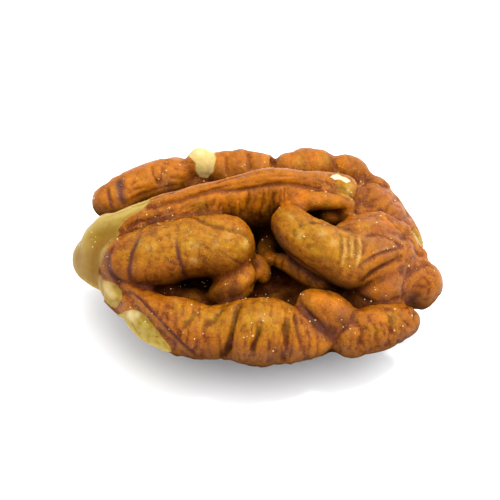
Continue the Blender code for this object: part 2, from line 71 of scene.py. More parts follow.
# %% Camera
FRAME = 500
ELEVATION = math.radians(46)
DISTANCE = 0.153
LENS = 120.0
SENSOR = 36.0
NEAR_CLIP = 0.01
TARGET = Vector((-0.000570, -0.000342, 0.008101))
TOWARDS_EYE = Vector((0, -math.cos(ELEVATION), math.sin(ELEVATION)))
VIEW_UP = Vector((0, math.sin(ELEVATION), math.cos(ELEVATION)))
EYE = TARGET + TOWARDS_EYE * DISTANCE
FOCAL_PIXELS = LENS / SENSOR * FRAME
PIXEL = DISTANCE / FOCAL_PIXELS

camera = bpy.data.objects.new("camera", bpy.data.cameras.new("camera"))
camera.data.lens = LENS
camera.data.sensor_width = SENSOR
camera.data.clip_start = NEAR_CLIP
camera.location = EYE
camera.rotation_euler = (math.pi / 2 - ELEVATION, 0, 0)
bpy.context.scene.collection.objects.link(camera)
bpy.context.scene.camera = camera
print("one pixel on the kernel is", round(PIXEL / MM, 3), "mm")


def sight_line(u, v):
    """The direction in which the camera sees a pixel."""
    return Vector(((u - FRAME / 2) / FOCAL_PIXELS, 0, 0)) + VIEW_UP * ((FRAME / 2 - v) / FOCAL_PIXELS) - TOWARDS_EYE


def pixels_of(points):
    """Where the camera sees each point, as two arrays of pixels."""
    offset = points - np.array(EYE)
    depth = -(offset @ np.array(TOWARDS_EYE))
    u = FRAME / 2 + FOCAL_PIXELS * offset[:, 0] / depth
    v = FRAME / 2 - FOCAL_PIXELS * (offset @ np.array(VIEW_UP)) / depth
    return u, v


# %% [markdown]
# ## A finer surface
# The real skin is smooth between its wrinkles, and the CAD's facets are larger than a vein. A Subdivision
# modifier would keep the facets' uneven sizes, so the CAD surface is remeshed with voxels to an even grain of
# under two tenths of a millimetre and smoothed. Everything after this moves points of this one mesh.

# %% Finer surface
GRAIN = 0.155 * MM
SMOOTH_ROUNDS = 12
MOST_TRIANGLES = 196_000
WELD_GAP = 0.001 * MM
UNDERSIDE = -0.2  # a normal that points down by more than this is on the underside
UPPER_THINNING = 0.02  # how much of the thinning the rest takes


def held(mesh):
    """An object in the scene that holds the mesh for a while."""
    holder = bpy.data.objects.new("holder", mesh)
    bpy.context.scene.collection.objects.link(holder)
    return holder


def evaluated(holder):
    """The holder's mesh after its modifiers, as a new mesh. The holder goes."""
    graph = bpy.context.evaluated_depsgraph_get()
    made = bpy.data.meshes.new_from_object(holder.evaluated_get(graph))
    bpy.data.objects.remove(holder)
    return made


def with_modifiers(mesh, settings):
    """The mesh after these modifiers, as a new mesh."""
    holder = held(mesh)
    for kind, values in settings:
        modifier = holder.modifiers.new(kind, kind)
        for name, value in values.items():
            setattr(modifier, name, value)
    return evaluated(holder)


def thinned(mesh, triangles):
    """The mesh of squares with its underside thinned, so that the whole has this many triangles."""
    holder = held(mesh)
    under = holder.vertex_groups.new(name="under")
    for vertex in mesh.vertices:
        under.add([vertex.index], 1.0 if vertex.normal.z < UNDERSIDE else UPPER_THINNING, "REPLACE")
    modifier = holder.modifiers.new("thin", "DECIMATE")
    modifier.ratio = triangles / (2 * len(mesh.polygons))
    modifier.vertex_group = under.name
    return evaluated(holder)


cad_kernel = bpy.data.objects["kernel"]
rough = cad_kernel.data.copy()
rough.name = "rough"
skin_mesh = with_modifiers(rough, [
    ("WELD", {"merge_threshold": WELD_GAP}),
    ("REMESH", {"mode": "VOXEL", "voxel_size": GRAIN}),
    ("SMOOTH", {"factor": 0.5, "iterations": SMOOTH_ROUNDS}),
])
skin_mesh = thinned(skin_mesh, MOST_TRIANGLES)
skin_mesh.name = "kernel_skin"
skin_mesh.materials.clear()
skin_mesh.calc_loop_triangles()
print("skin:", len(skin_mesh.vertices), "points,", len(skin_mesh.loop_triangles), "triangles")

# %% [markdown]
# ### Reading and writing the mesh
# The surface has about a hundred thousand points. Moving them one by one in Python is slow, so they are read
# into numpy arrays, worked on all at once and written back. The same goes for the numbers kept at each point.

# %% Reading and writing the mesh


def read(mesh, field="co"):
    """The positions of the mesh's points, or their normals."""
    values = np.empty(len(mesh.vertices) * 3)
    mesh.vertices.foreach_get(field, values)
    return values.reshape(-1, 3)


def write_points(mesh, points):
    mesh.vertices.foreach_set("co", points.ravel())
    mesh.update()


def write_attribute(mesh, name, values):
    """Stores one number for each point, for the material to read."""
    layer = mesh.attributes.new(name, "FLOAT", "POINT")
    layer.data.foreach_set("value", np.clip(values, 0, 1).astype(np.float32))


edges = np.empty(len(skin_mesh.edges) * 2, np.int32)
skin_mesh.edges.foreach_get("vertices", edges)
edges = edges.reshape(-1, 2)
starts, ends = np.concatenate([edges[:, 0], edges[:, 1]]), np.concatenate([edges[:, 1], edges[:, 0]])
neighbours = np.bincount(starts, minlength=len(skin_mesh.vertices))


def smoothed(values, rounds):
    """The values, each pulled to the average of its neighbours this many times."""
    flat = values.reshape(len(neighbours), -1).copy()
    for _ in range(rounds):
        for column in range(flat.shape[1]):
            flat[:, column] = np.bincount(starts, weights=flat[ends, column], minlength=len(flat)) / neighbours
    return flat.reshape(values.shape)


points = read(skin_mesh)
normals = read(skin_mesh, "normal")
tree = BVHTree.FromPolygons(points.tolist(), [p.vertices[:] for p in skin_mesh.polygons])
pixel_u, pixel_v = pixels_of(points)


def place_of(u, v):
    """The point of the skin that the camera sees at a pixel, or None beside it."""
    return tree.ray_cast(EYE, sight_line(u, v))[0]


# %% [markdown]
# ## Strokes
# Veins, creases and grooves run over the skin like lines drawn on it. Sculpting them by hand would give a mesh
# that no script can make again, so each is a stroke: a line of pixels, laid on the skin through the camera and
# then pressed in or raised along its length. It tapers at both ends, and its depth wavers, as a vein's does.

# %% Stroke tools
noise.seed_set(3)  # without a seed, noise_vector follows the clock and each run differs
WANDER_SIZE = 9  # pixels over which a wandering line bends
WAVER_SIZE = 1.1 * MM  # length over which a stroke's depth wavers
LONGEST_STEP = 12 * PIXEL  # a longer step jumps from one fold to another, so nothing is drawn along it
MARGIN = 2.5  # half widths beside a stroke in which the skin still swells


def bell(distance):
    """A smooth bell, 1 at 0 and gone beyond 1."""
    return np.clip(1 - distance**2, 0, 1) ** 2


def smooth_line(pixels, step=2.5, wander=0.7):
    """More pixels along a smooth curve through these, which wanders a little as a vein does."""
    pixels = np.array(pixels, float)
    gaps = np.linalg.norm(np.diff(pixels, axis=0), axis=1)
    along = np.concatenate([[0], np.cumsum(gaps)])
    two = len(pixels) == 2
    slopes = np.repeat(np.diff(pixels, axis=0) / gaps, 2, 0) if two else np.gradient(pixels, along, axis=0)
    wanted = np.linspace(0, along[-1], max(3, int(along[-1] / step) + 1))
    piece = np.clip(np.searchsorted(along, wanted, side="right") - 1, 0, len(pixels) - 2)
    gap = gaps[piece][:, None]
    t = (wanted[:, None] - along[piece][:, None]) / gap
    made = (2 * t**3 - 3 * t**2 + 1) * pixels[piece] + (t**3 - 2 * t**2 + t) * gap * slopes[piece]
    made += (3 * t**2 - 2 * t**3) * pixels[piece + 1] + (t**3 - t**2) * gap * slopes[piece + 1]
    return made + [[wander * c for c in noise.noise_vector(Vector((u, v, 0)) / WANDER_SIZE)[:2]] for u, v in made]


def laid(pixels):
    """The stroke's points on the skin, in metres."""
    found = [place_of(u, v) for u, v in smooth_line(pixels)]
    return np.array([p for p in found if p is not None])


def stroke_distance(line, half_width, taper=0.25):
    """For the skin near a stroke: the indices, the distance in half widths, and the strength along it."""
    margin = MARGIN * half_width
    index = np.flatnonzero(np.all((points > line.min(0) - margin) & (points < line.max(0) + margin), axis=1))
    best = np.full(len(index), np.inf)
    share = np.zeros(len(index))
    steps = np.linalg.norm(np.diff(line, axis=0), axis=1)
    along = np.concatenate([[0], np.cumsum(steps)])
    for i, (a, b) in enumerate(zip(line[:-1], line[1:])):
        if steps[i] > LONGEST_STEP or steps[i] == 0:
            continue
        t = np.clip((points[index] - a) @ (b - a) / steps[i] ** 2, 0, 1)
        gap = np.linalg.norm(points[index] - a - t[:, None] * (b - a), axis=1)
        closer = gap < best
        best = np.where(closer, gap, best)
        share = np.where(closer, (along[i] + t * steps[i]) / along[-1], share)
    lively = [0.85 + 0.5 * noise.noise(Vector(p) / WAVER_SIZE) for p in line]
    strength = np.interp(share, along / along[-1], lively) * np.clip(np.minimum(share, 1 - share) / taper, 0, 1) ** 0.5
    return index, best / half_width, strength


# Each kind of stroke: half width in mm, depth in mm (below zero it stands up), how sharp its bottom is, how
# much the skin swells beside it, the half width in mm of its colour, and what it adds to each layer
# Grooves, creases, lines and wrinkles also darken their folds: that layer is painted shade.
KINDS = {
    "groove": dict(width=0.80, depth=0.40, power=2.3, swell=0.12, ink=0.25, layers={"painted_shade": 0.9}),
    "crease": dict(width=0.52, depth=0.22, power=2.1, swell=0.14, ink=0.21, layers={"painted_shade": 0.75}),
    "line": dict(width=0.34, depth=0.10, power=1.6, swell=0.18, ink=0.18, layers={"painted_shade": 0.5}),
    "broad vein": dict(width=0.55, depth=0.05, power=1.2, swell=0.0, ink=0.80, layers={"mauve": 1.2, "vein": 0.4}),
    "vein": dict(width=0.27, depth=0.05, power=1.2, swell=0.0, ink=0.29, layers={"vein": 0.9, "mauve": 0.5}),
    "thin vein": dict(width=0.19, depth=0.04, power=1.2, swell=0.0, ink=0.20, layers={"vein": 0.8}),
    "ridge": dict(width=0.40, depth=-0.12, power=1.2, swell=0.0, ink=0.35, layers={"mauve": 0.6}),
    "pale ridge": dict(width=0.22, depth=-0.11, power=1.2, swell=0.0, ink=0.20, layers={"pale": 0.8}),
    "wrinkle": dict(width=0.24, depth=0.07, power=1.4, swell=0.30, ink=0.16, layers={"painted_shade": 0.35}),
}
LAYERS = ("painted_shade", "vein", "mauve", "olive", "orange", "red", "bare", "amber", "pale", "white")
layers = {name: np.zeros(len(points)) for name in LAYERS}
press = np.zeros(len(points))
MOST_INK = 1.3


def draw(kind, pixels, strength=1.0):
    """Lays one stroke: presses the skin, swells it on both sides and marks its layers."""
    settings = KINDS[kind]
    line = laid(pixels)
    if len(line) < 2:
        return
    index, gap, along = stroke_distance(line, settings["width"] * MM)
    core = np.clip(1 - gap, 0, 1) ** settings["power"] * along
    beside = bell((gap - 1.5) / 0.9) * along * settings["swell"]
    press[index] += settings["depth"] * MM * strength * (core - beside)
    for name, amount in settings["layers"].items():
        across = bell(gap * settings["width"] / settings["ink"])
        paint = amount * min(strength, MOST_INK) * across * np.clip(along, 0, 1)
        layers[name][index] = np.maximum(layers[name][index], paint)


# %% [markdown]
# ## Strokes of the inner face
# They are grouped by the lobe that they lie on: a kind, the pixels and a strength. Grooves part the folds, veins
# carry the darker lines of the skin, and wrinkles come from its drying. A noise could scatter such lines, but the
# ones that are seen first are read off the photo, since they are what makes this kernel this one.

# %% Left: root tip, near left lobe and far left lobe
STROKES = [
    ("broad vein", [(108, 250), (107, 258), (108, 266), (111, 273), (119, 280)], 1.2),
    ("vein", [(143, 232), (137, 243), (132, 254), (130, 264), (129, 272), (133, 284)], 1.2),
    ("vein", [(176, 238), (177, 246), (179, 256), (181, 264), (185, 274), (188, 279)], 1.1),
    ("thin vein", [(163, 256), (171, 262), (178, 265)], 0.9),
    ("line", [(196, 218), (205, 223), (215, 226), (228, 229), (240, 233), (249, 239)], 0.8),
    ("thin vein", [(200, 243), (208, 248), (214, 252), (219, 250), (226, 255), (234, 260), (243, 264),
                   (250, 266)], 0.9),
    ("line", [(154, 242), (158, 240), (163, 240)], 0.6),
    ("line", [(105, 268), (118, 279), (135, 284), (150, 285)], 0.6),
    ("vein", [(108, 187), (109, 196), (111, 204), (113, 210)], 1.2),
    ("broad vein", [(119, 178), (120, 188), (121, 197), (123, 205)], 1.0),
    ("thin vein", [(165, 158), (162, 170), (160, 182)], 0.7),
    ("line", [(122, 205), (135, 197), (150, 191), (165, 187), (180, 184)], 0.9),
    ("crease", [(152, 165), (154, 176), (161, 185)], 0.8),
    ("line", [(140, 170), (134, 180), (132, 192)], 0.7),
    ("line", [(165, 162), (175, 168), (188, 171)], 0.8),
    ("wrinkle", [(128, 187), (140, 180), (153, 176)], 0.9),
    ("wrinkle", [(124, 196), (138, 189), (150, 186)], 0.9),
    ("wrinkle", [(166, 176), (176, 179), (186, 178)], 0.9),
    ("line", [(104, 217), (125, 210), (150, 200), (175, 192)], 0.8),
    ("line", [(120, 209), (140, 203), (165, 195), (190, 187)], 0.8),
]

# %% Spine and far rim
STROKES += [
    ("crease", [(145, 207), (165, 205), (190, 198), (215, 191), (240, 190), (262, 186), (280, 184), (300, 185),
                (320, 189)], 0.7),
    ("line", [(150, 203), (180, 197), (205, 191), (235, 184), (262, 179), (290, 177)], 0.6),
    ("wrinkle", [(176, 196), (200, 188), (226, 180), (250, 175)], 1.0),
    ("wrinkle", [(190, 198), (212, 190), (238, 184), (264, 181), (280, 181)], 1.0),
    ("wrinkle", [(214, 183), (240, 176), (262, 172), (282, 172)], 0.9),
    ("wrinkle", [(250, 179), (275, 176), (298, 177), (316, 181)], 1.0),
    ("wrinkle", [(284, 180), (304, 181), (322, 185)], 0.9),
    ("wrinkle", [(160, 204), (178, 200), (196, 195)], 0.9),
    ("line", [(262, 178), (290, 176), (318, 180), (335, 186)], 0.5),
    ("crease", [(121, 234), (137, 229), (152, 223), (165, 217)], 0.6),
    ("line", [(128, 226), (145, 220), (162, 214), (180, 209), (200, 205)], 0.6),
    ("line", [(226, 157), (226, 166), (228, 174)], 0.8),
    ("line", [(248, 152), (249, 161), (250, 169)], 0.7),
    ("groove", [(273, 158), (273, 166)], 0.6),
    ("crease", [(333, 155), (334, 163), (338, 171)], 0.7),
    ("line", [(369, 176), (362, 186), (352, 193)], 0.8),
]

# %% Right lobe, shoulder and end knob
STROKES += [
    ("line", [(365, 237), (372, 234), (383, 235), (392, 240), (400, 244)], 1.0),
    ("crease", [(358, 268), (365, 261), (375, 255), (385, 251), (400, 247)], 0.8),
    ("vein", [(392, 242), (398, 245), (404, 247)], 1.2),
    ("pale ridge", [(363, 262), (370, 256), (377, 251), (390, 248), (398, 246)], 0.35),
    ("broad vein", [(277, 226), (281, 241), (294, 261), (311, 274), (328, 281), (345, 286)], 1.0),
    ("line", [(302, 226), (314, 223), (327, 223), (337, 227), (341, 236)], 0.6),
    ("line", [(296, 240), (300, 250), (308, 258), (320, 262), (332, 258)], 0.5),
    ("line", [(290, 213), (297, 219), (302, 228)], 0.6),
    ("thin vein", [(306, 236), (314, 240), (322, 236)], 0.5),
    ("pale ridge", [(344, 238), (345, 250), (343, 266)], 1.0),
    ("pale ridge", [(352, 240), (352, 250), (351, 260)], 0.7),
    ("pale ridge", [(359, 236), (360, 250), (357, 264), (354, 271)], 0.9),
    ("line", [(348, 236), (349, 250), (347, 268)], 0.9),
    ("line", [(355, 238), (356, 250), (354, 266)], 0.9),
    ("line", [(363, 240), (364, 248), (362, 256)], 0.5),
    ("crease", [(362, 283), (372, 273), (380, 267), (390, 262), (398, 257)], 0.8),
    ("ridge", [(402, 257), (404, 268), (401, 282), (395, 296)], 0.9),
    ("line", [(320, 192), (333, 192), (345, 197), (350, 201)], 0.9),
    ("crease", [(320, 210), (335, 211), (348, 209)], 0.6),
    ("line", [(303, 213), (310, 218), (320, 220), (340, 222), (350, 222)], 0.7),
    ("line", [(404, 300), (402, 290), (406, 276)], 0.7),
    ("line", [(412, 287), (422, 286), (436, 281)], 0.5),
]

# %% Inner ridge, inner knob, near rim and near right
RIM_FOLD = [(128, 290), (140, 298), (150, 308), (160, 320), (172, 333), (185, 346), (198, 357)]
STROKES += [
    ("line", [(278, 262), (292, 268), (306, 276), (320, 286)], 0.5),
    ("crease", [(280, 246), (292, 256), (308, 267), (322, 277), (332, 283)], 0.8),
    ("crease", [(254, 264), (257, 272), (256, 281), (250, 290)], 1.2),
    ("wrinkle", [(276, 256), (274, 262), (275, 268)], 1.3),
    ("wrinkle", [(284, 257), (281, 264), (281, 271)], 1.3),
    ("wrinkle", [(292, 261), (290, 268), (291, 275)], 1.4),
    ("wrinkle", [(301, 265), (298, 272), (299, 280)], 1.4),
    ("wrinkle", [(309, 270), (307, 277), (308, 284)], 1.3),
    ("wrinkle", [(318, 276), (316, 282), (317, 288)], 1.2),
    ("wrinkle", [(268, 262), (283, 266), (298, 275), (312, 284)], 1.0),
    ("line", [(225, 300), (238, 296), (248, 288), (252, 276)], 0.5),
    ("groove", [(237, 304), (235, 318), (232, 332), (229, 345), (224, 356)], 0.9),
    ("crease", [(259, 326), (256, 340), (252, 352)], 1.1),
    ("line", [(269, 338), (270, 350)], 1.0),
    ("groove", [(287, 316), (286, 332), (288, 346)], 0.8),
    ("crease", [(296, 312), (298, 330), (300, 345)], 0.9),
    ("line", [(306, 322), (310, 340)], 0.8),
    ("line", [(180, 333), (187, 324), (196, 313)], 0.9),
    ("line", [(205, 328), (213, 320), (222, 312)], 0.9),
    ("line", [(244, 350), (246, 338)], 0.6),
    ("ridge", [(122, 284), (133, 291), (140, 302), (150, 312), (160, 322), (170, 332), (180, 342), (188, 350),
               (195, 356)], 0.8),
    ("crease", RIM_FOLD, 0.9),
    ("vein", RIM_FOLD, 1.3),
    ("crease", [(353, 288), (362, 297), (376, 302), (390, 301), (400, 297), (410, 291)], 0.8),
    ("crease", [(299, 300), (306, 310), (316, 320), (328, 332), (333, 342)], 1.0),
    ("crease", [(355, 310), (350, 322), (340, 334), (333, 344)], 1.0),
    ("broad vein", [(303, 306), (310, 319), (321, 330), (332, 339)], 0.8),
    ("line", [(358, 322), (361, 335), (357, 350)], 0.8),
    ("line", [(372, 318), (376, 330), (374, 346)], 0.7),
    ("line", [(388, 312), (391, 324), (388, 338)], 0.7),
]
for kind, pixels, strength in STROKES:
    draw(kind, pixels, strength)
print(len(STROKES), "strokes laid")

# %% [markdown]
# ### Wrinkles that repeat
# The flank of the spine and the two rims dry into rows of small wrinkles across their length. Drawing each one
# would take a hundred strokes, so a row runs between two lines of pixels, and a seeded draw moves each wrinkle a
# little: no two are alike, yet each run gives the same ones.

# %% Rows of wrinkles
WRINKLE_SEED = 11
draws = np.random.default_rng(WRINKLE_SEED)


def between(line, share):
    """The pixel this share of the way along a line of pixels."""
    line = np.array(line, float)
    along = np.concatenate([[0], np.cumsum(np.linalg.norm(np.diff(line, axis=0), axis=1))])
    return np.array([np.interp(share * along[-1], along, line[:, axis]) for axis in (0, 1)])


def wrinkle_row(kind, top, bottom, count, jitter, strength):
    """A row of strokes from one line to the other."""
    for place in (np.arange(count) + 0.5) / count:
        place = place + draws.normal(0, jitter / count)
        low, high = draws.uniform(0.02, 0.25), draws.uniform(0.75, 1.0)
        start = between(top, np.clip(place, 0, 1))
        end = between(bottom, np.clip(place + draws.normal(0, jitter / count), 0, 1))
        middle = (start + end) / 2 + draws.normal(0, 0.8, 2)
        a, b = start + (end - start) * low, start + (end - start) * high
        draw(kind, [a, middle, b], strength * draws.uniform(0.5, 1.2))


# The line where a row starts, the line where it ends, how many wrinkles, how unevenly spaced, and their strength
WRINKLE_ROWS = [
    ([(205, 195), (235, 192), (262, 188), (284, 186)], [(205, 207), (235, 213), (262, 219), (276, 213)], 19, 0.35, 1.0),
    ([(160, 302), (200, 305), (232, 308), (275, 304), (296, 316)],
     [(176, 350), (205, 358), (232, 360), (275, 364), (305, 358)], 18, 0.4, 0.55),
    ([(345, 330), (370, 318), (400, 306)], [(345, 352), (378, 354), (414, 328)], 9, 0.4, 0.7),
    ([(110, 190), (140, 170), (185, 160)], [(122, 206), (150, 196), (190, 182)], 6, 0.4, 0.3),
]
for row in WRINKLE_ROWS:
    wrinkle_row("wrinkle", *row)
print(sum(row[2] for row in WRINKLE_ROWS), "wrinkles laid in", len(WRINKLE_ROWS), "rows")

# %% [markdown]
# ### Rings, streaks, pebbles and swells
# A ring of pixels marks a part of the inner face. Inside a ring, stretched noise lifts and sinks the skin in streaks
# that run the way its fibres do: along the top of the spine, and down the flank and the rims. Round noise gives the
# pebbly ends of the kernel, and a plain lift gives two swells. The material's bump could do the same, but then neither
# the silhouette nor the mesh itself would show it.

# %% Rings
RING_WANDER_SIZE = 0.9 * MM  # size of the bays in a ring's edge
RING_FADE = 0.3 * MM  # how softly a ring ends at its reach
TINY = 1e-12


def ring_weight(ring, soft=2.0, reach=3.0, centre=None, wander=1.6):
    """1 inside a ring of pixels, 0 outside, for the skin within reach mm of the ring's middle."""
    ring = np.array(ring, float)
    middle = Vector(place_of(*(centre if centre is not None else ring.mean(0))))
    gap = np.linalg.norm(points - np.array(middle), axis=1)
    index = np.flatnonzero(gap < reach * MM)
    u, v = pixel_u[index], pixel_v[index]
    if wander:
        shift = np.array([noise.noise_vector(Vector(p) / RING_WANDER_SIZE) for p in points[index]]) * wander
        u, v = u + shift[:, 0], v + shift[:, 1]
    inside = np.zeros(len(index), bool)
    nearest = np.full(len(index), np.inf)
    for (ua, va), (ub, vb) in zip(ring, np.roll(ring, -1, axis=0)):
        inside ^= ((va > v) != (vb > v)) & (u < (ub - ua) * (v - va) / (vb - va + TINY) + ua)
        t = np.clip(((u - ua) * (ub - ua) + (v - va) * (vb - va)) / ((ub - ua) ** 2 + (vb - va) ** 2), 0, 1)
        nearest = np.minimum(nearest, np.hypot(u - ua - t * (ub - ua), v - va - t * (vb - va)))
    signed = np.where(inside, nearest, -nearest)
    weight = np.zeros(len(points))
    weight[index] = np.clip(0.5 + signed / (2 * soft), 0, 1) * np.clip((reach * MM - gap[index]) / RING_FADE, 0, 1)
    return weight


relief = np.zeros(len(points))
furrow_shade = np.zeros(len(points))


def streaks(ring, angle, across, along, height, reach, seed):
    """Puffy streaks inside a ring, turned by this angle, with sizes in pixels and height and reach in mm."""
    weight = ring_weight(ring, soft=5.0, reach=reach, wander=0)
    index = np.flatnonzero(weight > 0)
    turn = math.radians(angle)
    run = pixel_u[index] * math.cos(turn) + pixel_v[index] * math.sin(turn)
    side = -pixel_u[index] * math.sin(turn) + pixel_v[index] * math.cos(turn)
    rows = np.array([noise.noise(Vector((r / along, c / across, seed))) for r, c in zip(run, side)])
    finer = np.array([noise.noise(Vector((r / along * 2, c / across * 2.1, seed + 5))) for r, c in zip(run, side)])
    puffs = np.abs(rows) * 2.0 + np.abs(finer) * 0.8 - 0.7
    relief[index] += puffs * height * MM * weight[index]
    # The furrows between the puffs are kept, to be darkened as painted shade.
    furrow_shade[index] = np.maximum(furrow_shade[index], np.clip(-puffs * 1.6, 0, 1) * weight[index])


# %% Streaks of each part
# The ring, then the angle, the size across and along the streaks, the height and the reach
STREAKS = [
    ([(132, 212), (160, 202), (190, 190), (230, 183), (255, 171), (283, 168), (335, 175), (352, 183), (322, 189),
      (285, 184), (240, 190), (190, 198), (150, 212)], -10, 4.0, 20, 0.045, 14),
    ([(122, 234), (138, 215), (165, 206), (190, 199), (208, 195), (206, 208), (180, 219), (150, 226)],
     -22, 3.6, 22, 0.06, 6),
    ([(204, 196), (262, 187), (290, 186), (284, 202), (276, 217), (262, 221), (205, 209)], 86, 3.8, 20, 0.08, 8),
    ([(128, 292), (150, 302), (232, 306), (252, 299), (284, 306), (300, 318), (332, 346), (320, 360), (262, 370),
      (175, 360), (150, 330)], 96, 9.5, 30, 0.10, 12),
    ([(334, 350), (352, 322), (372, 318), (385, 306), (415, 305), (423, 312), (405, 340), (360, 364)],
     66, 8.0, 20, 0.10, 6),
    ([(93, 222), (92, 200), (115, 172), (150, 160), (186, 158), (190, 186), (120, 208)], 62, 12, 24, 0.04, 7),
    ([(212, 150), (270, 150), (274, 172), (212, 180)], 84, 12, 22, 0.03, 4),
    ([(272, 150), (346, 148), (372, 172), (352, 184), (272, 168)], 78, 12, 24, 0.03, 6),
    ([(108, 262), (112, 246), (160, 224), (215, 213), (250, 230), (255, 258), (225, 277), (145, 286)],
     70, 11, 16, 0.03, 9),
    ([(272, 222), (285, 203), (330, 212), (362, 240), (366, 280), (345, 286), (300, 258)], 45, 11, 16, 0.03, 7),
    ([(276, 256), (300, 260), (346, 290), (330, 294), (290, 272)], 36, 3.4, 18, 0.07, 5),
]
for seed, (ring, angle, across, along, height, reach) in enumerate(STREAKS, start=1):
    streaks(ring, angle, across, along, height, reach, float(seed))
print(len(STREAKS), "parts streaked")

# %% Pebbles and swells
# The ring, the height in mm, the size of a pebble in pixels and the reach in mm
PEBBLY = [
    ([(372, 172), (386, 188), (408, 212), (426, 246), (412, 262), (396, 238), (352, 196)], 0.09, 11.0, 5.5),
    ([(402, 262), (430, 258), (444, 284), (440, 304), (404, 312), (398, 292)], 0.08, 10.0, 4.0),
    ([(296, 296), (320, 290), (354, 306), (340, 340), (306, 318)], 0.03, 12.0, 4.0),
    ([(340, 344), (352, 320), (420, 306), (400, 344), (360, 364)], 0.06, 10.0, 5.5),
    ([(119, 313), (140, 309), (150, 322), (168, 340), (168, 350), (152, 349), (135, 335), (120, 320)], 0.08, 12.0, 4.6),
]
# The ring and the height in mm
SWELLS = [
    ([(296, 232), (306, 224), (324, 222), (338, 230), (341, 246), (332, 259), (314, 262), (300, 252)], 0.10),
    ([(362, 290), (372, 276), (392, 266), (402, 272), (398, 292), (380, 301)], 0.10),
]
for ring, height in SWELLS:
    relief += ring_weight(ring, soft=7, reach=4, wander=0) * height * MM
for ring, height, size, reach in PEBBLY:
    weight = ring_weight(ring, soft=5.0, reach=reach, wander=0)
    index = np.flatnonzero(weight > 0)
    lumps = np.array([abs(noise.noise(Vector(p) / (size * PIXEL))) for p in points[index]])
    relief[index] += (lumps * 2.2 - 0.6) * height * MM * weight[index]
print("relief from", round(relief.min() / MM, 2), "to", round(relief.max() / MM, 2), "mm")

# %% [markdown]
# ## Bare places
# The root tip has broken off and shows pale flesh, amber where it is moist. The skin has also rubbed off two
# patches of the left rim, one chip on the spine, a knob of the far rim and the far right corner. Separate pieces
# of flesh would leave a step or a gap at their edges, so each place is a ring of pixels that marks a layer, and
# one material shows flesh inside it. A ring keeps to its own fold by the distance from its middle.

# %% Bare places


def mark(layer, weight, amount=1.0):
    """Raises a layer to this weight where it is lower."""
    layers[layer] = np.maximum(layers[layer], weight * amount)


def spot(u, v, radius, spread=1.0):
    """A soft round spot: 1 at the point seen at a pixel, and 0 beyond this radius in pixels."""
    place = place_of(u, v)
    if place is None:
        return np.zeros(len(points))
    return bell(np.linalg.norm(points - np.array(place), axis=1) / (radius * PIXEL * spread))


TIP_RING = [(150, 201), (144, 207), (138, 212), (128, 218), (122, 224), (118, 230), (120, 235), (113, 241), (107, 248),
            (103, 256), (100, 265), (100, 274), (103, 283), (104, 300), (60, 300), (55, 230), (84, 200), (146, 190)]
TIP_FAR_SIDE = 3 * MM  # the far left lobe lies beyond this, behind the tip
tip = ring_weight(TIP_RING, soft=0.9, reach=7.4, centre=(98, 250), wander=0.7) * (points[:, 1] < TIP_FAR_SIDE)
mark("bare", tip)
LOWER_TIP = [(58, 255), (76, 246), (90, 236), (108, 226), (125, 222), (112, 305), (60, 305)]
mark("amber", ring_weight(LOWER_TIP, soft=12, reach=7.0, centre=(96, 262)))
# The upper face of the tip gets a little pale as painted light, where it faces the lamps.
UPPER_TIP = [(66, 246), (84, 226), (100, 212), (146, 200), (144, 210), (112, 222), (92, 232)]
mark("pale", ring_weight(UPPER_TIP, soft=4, reach=6.5, wander=0), 0.15)
RIM_PATCHES = [
    [(98, 279), (108, 281), (117, 284), (122, 291), (122, 299), (117, 307), (110, 307), (103, 299), (97, 288)],
    [(119, 314), (130, 309), (140, 311), (146, 316), (150, 322), (158, 332), (166, 342), (171, 352), (158, 353),
     (150, 349), (138, 340), (126, 332), (116, 320)],
]
for ring in RIM_PATCHES:
    mark("bare", ring_weight(ring, soft=0.9, reach=4.6))
SKIN_REMAINS = [(140, 333, 4.0), (151, 331, 3.0), (156, 337, 3.5), (133, 327, 2.2), (146, 341, 2.6), (127, 318, 1.8)]
for remains in SKIN_REMAINS:
    layers["bare"] *= 1 - 0.7 * spot(*remains)

KNOB_RING = [(188, 156), (192, 148), (200, 145), (212, 148), (216, 158), (214, 170), (208, 178), (200, 177),
             (195, 170), (196, 163)]
knob = ring_weight(KNOB_RING, soft=0.9, reach=3.0, wander=1.0)
mark("bare", knob)
mark("pale", knob)
mark("amber", ring_weight([(192, 168), (214, 166), (212, 182), (192, 182)], soft=4, reach=3.0), 0.7)
CHIP_RING = [(330, 176), (336, 174), (345, 177), (351, 181), (347, 183), (341, 180), (335, 180)]
chip = ring_weight(CHIP_RING, soft=0.7, reach=1.8, wander=1.2)
mark("bare", chip)
mark("white", chip)
CORNER_RING = [(411, 230), (415, 226), (421, 234), (425, 246), (418, 247), (413, 240)]
mark("bare", ring_weight(CORNER_RING, soft=1.2, reach=2.2), 0.5)
print("bare points:", int((layers["bare"] > 0.5).sum()))
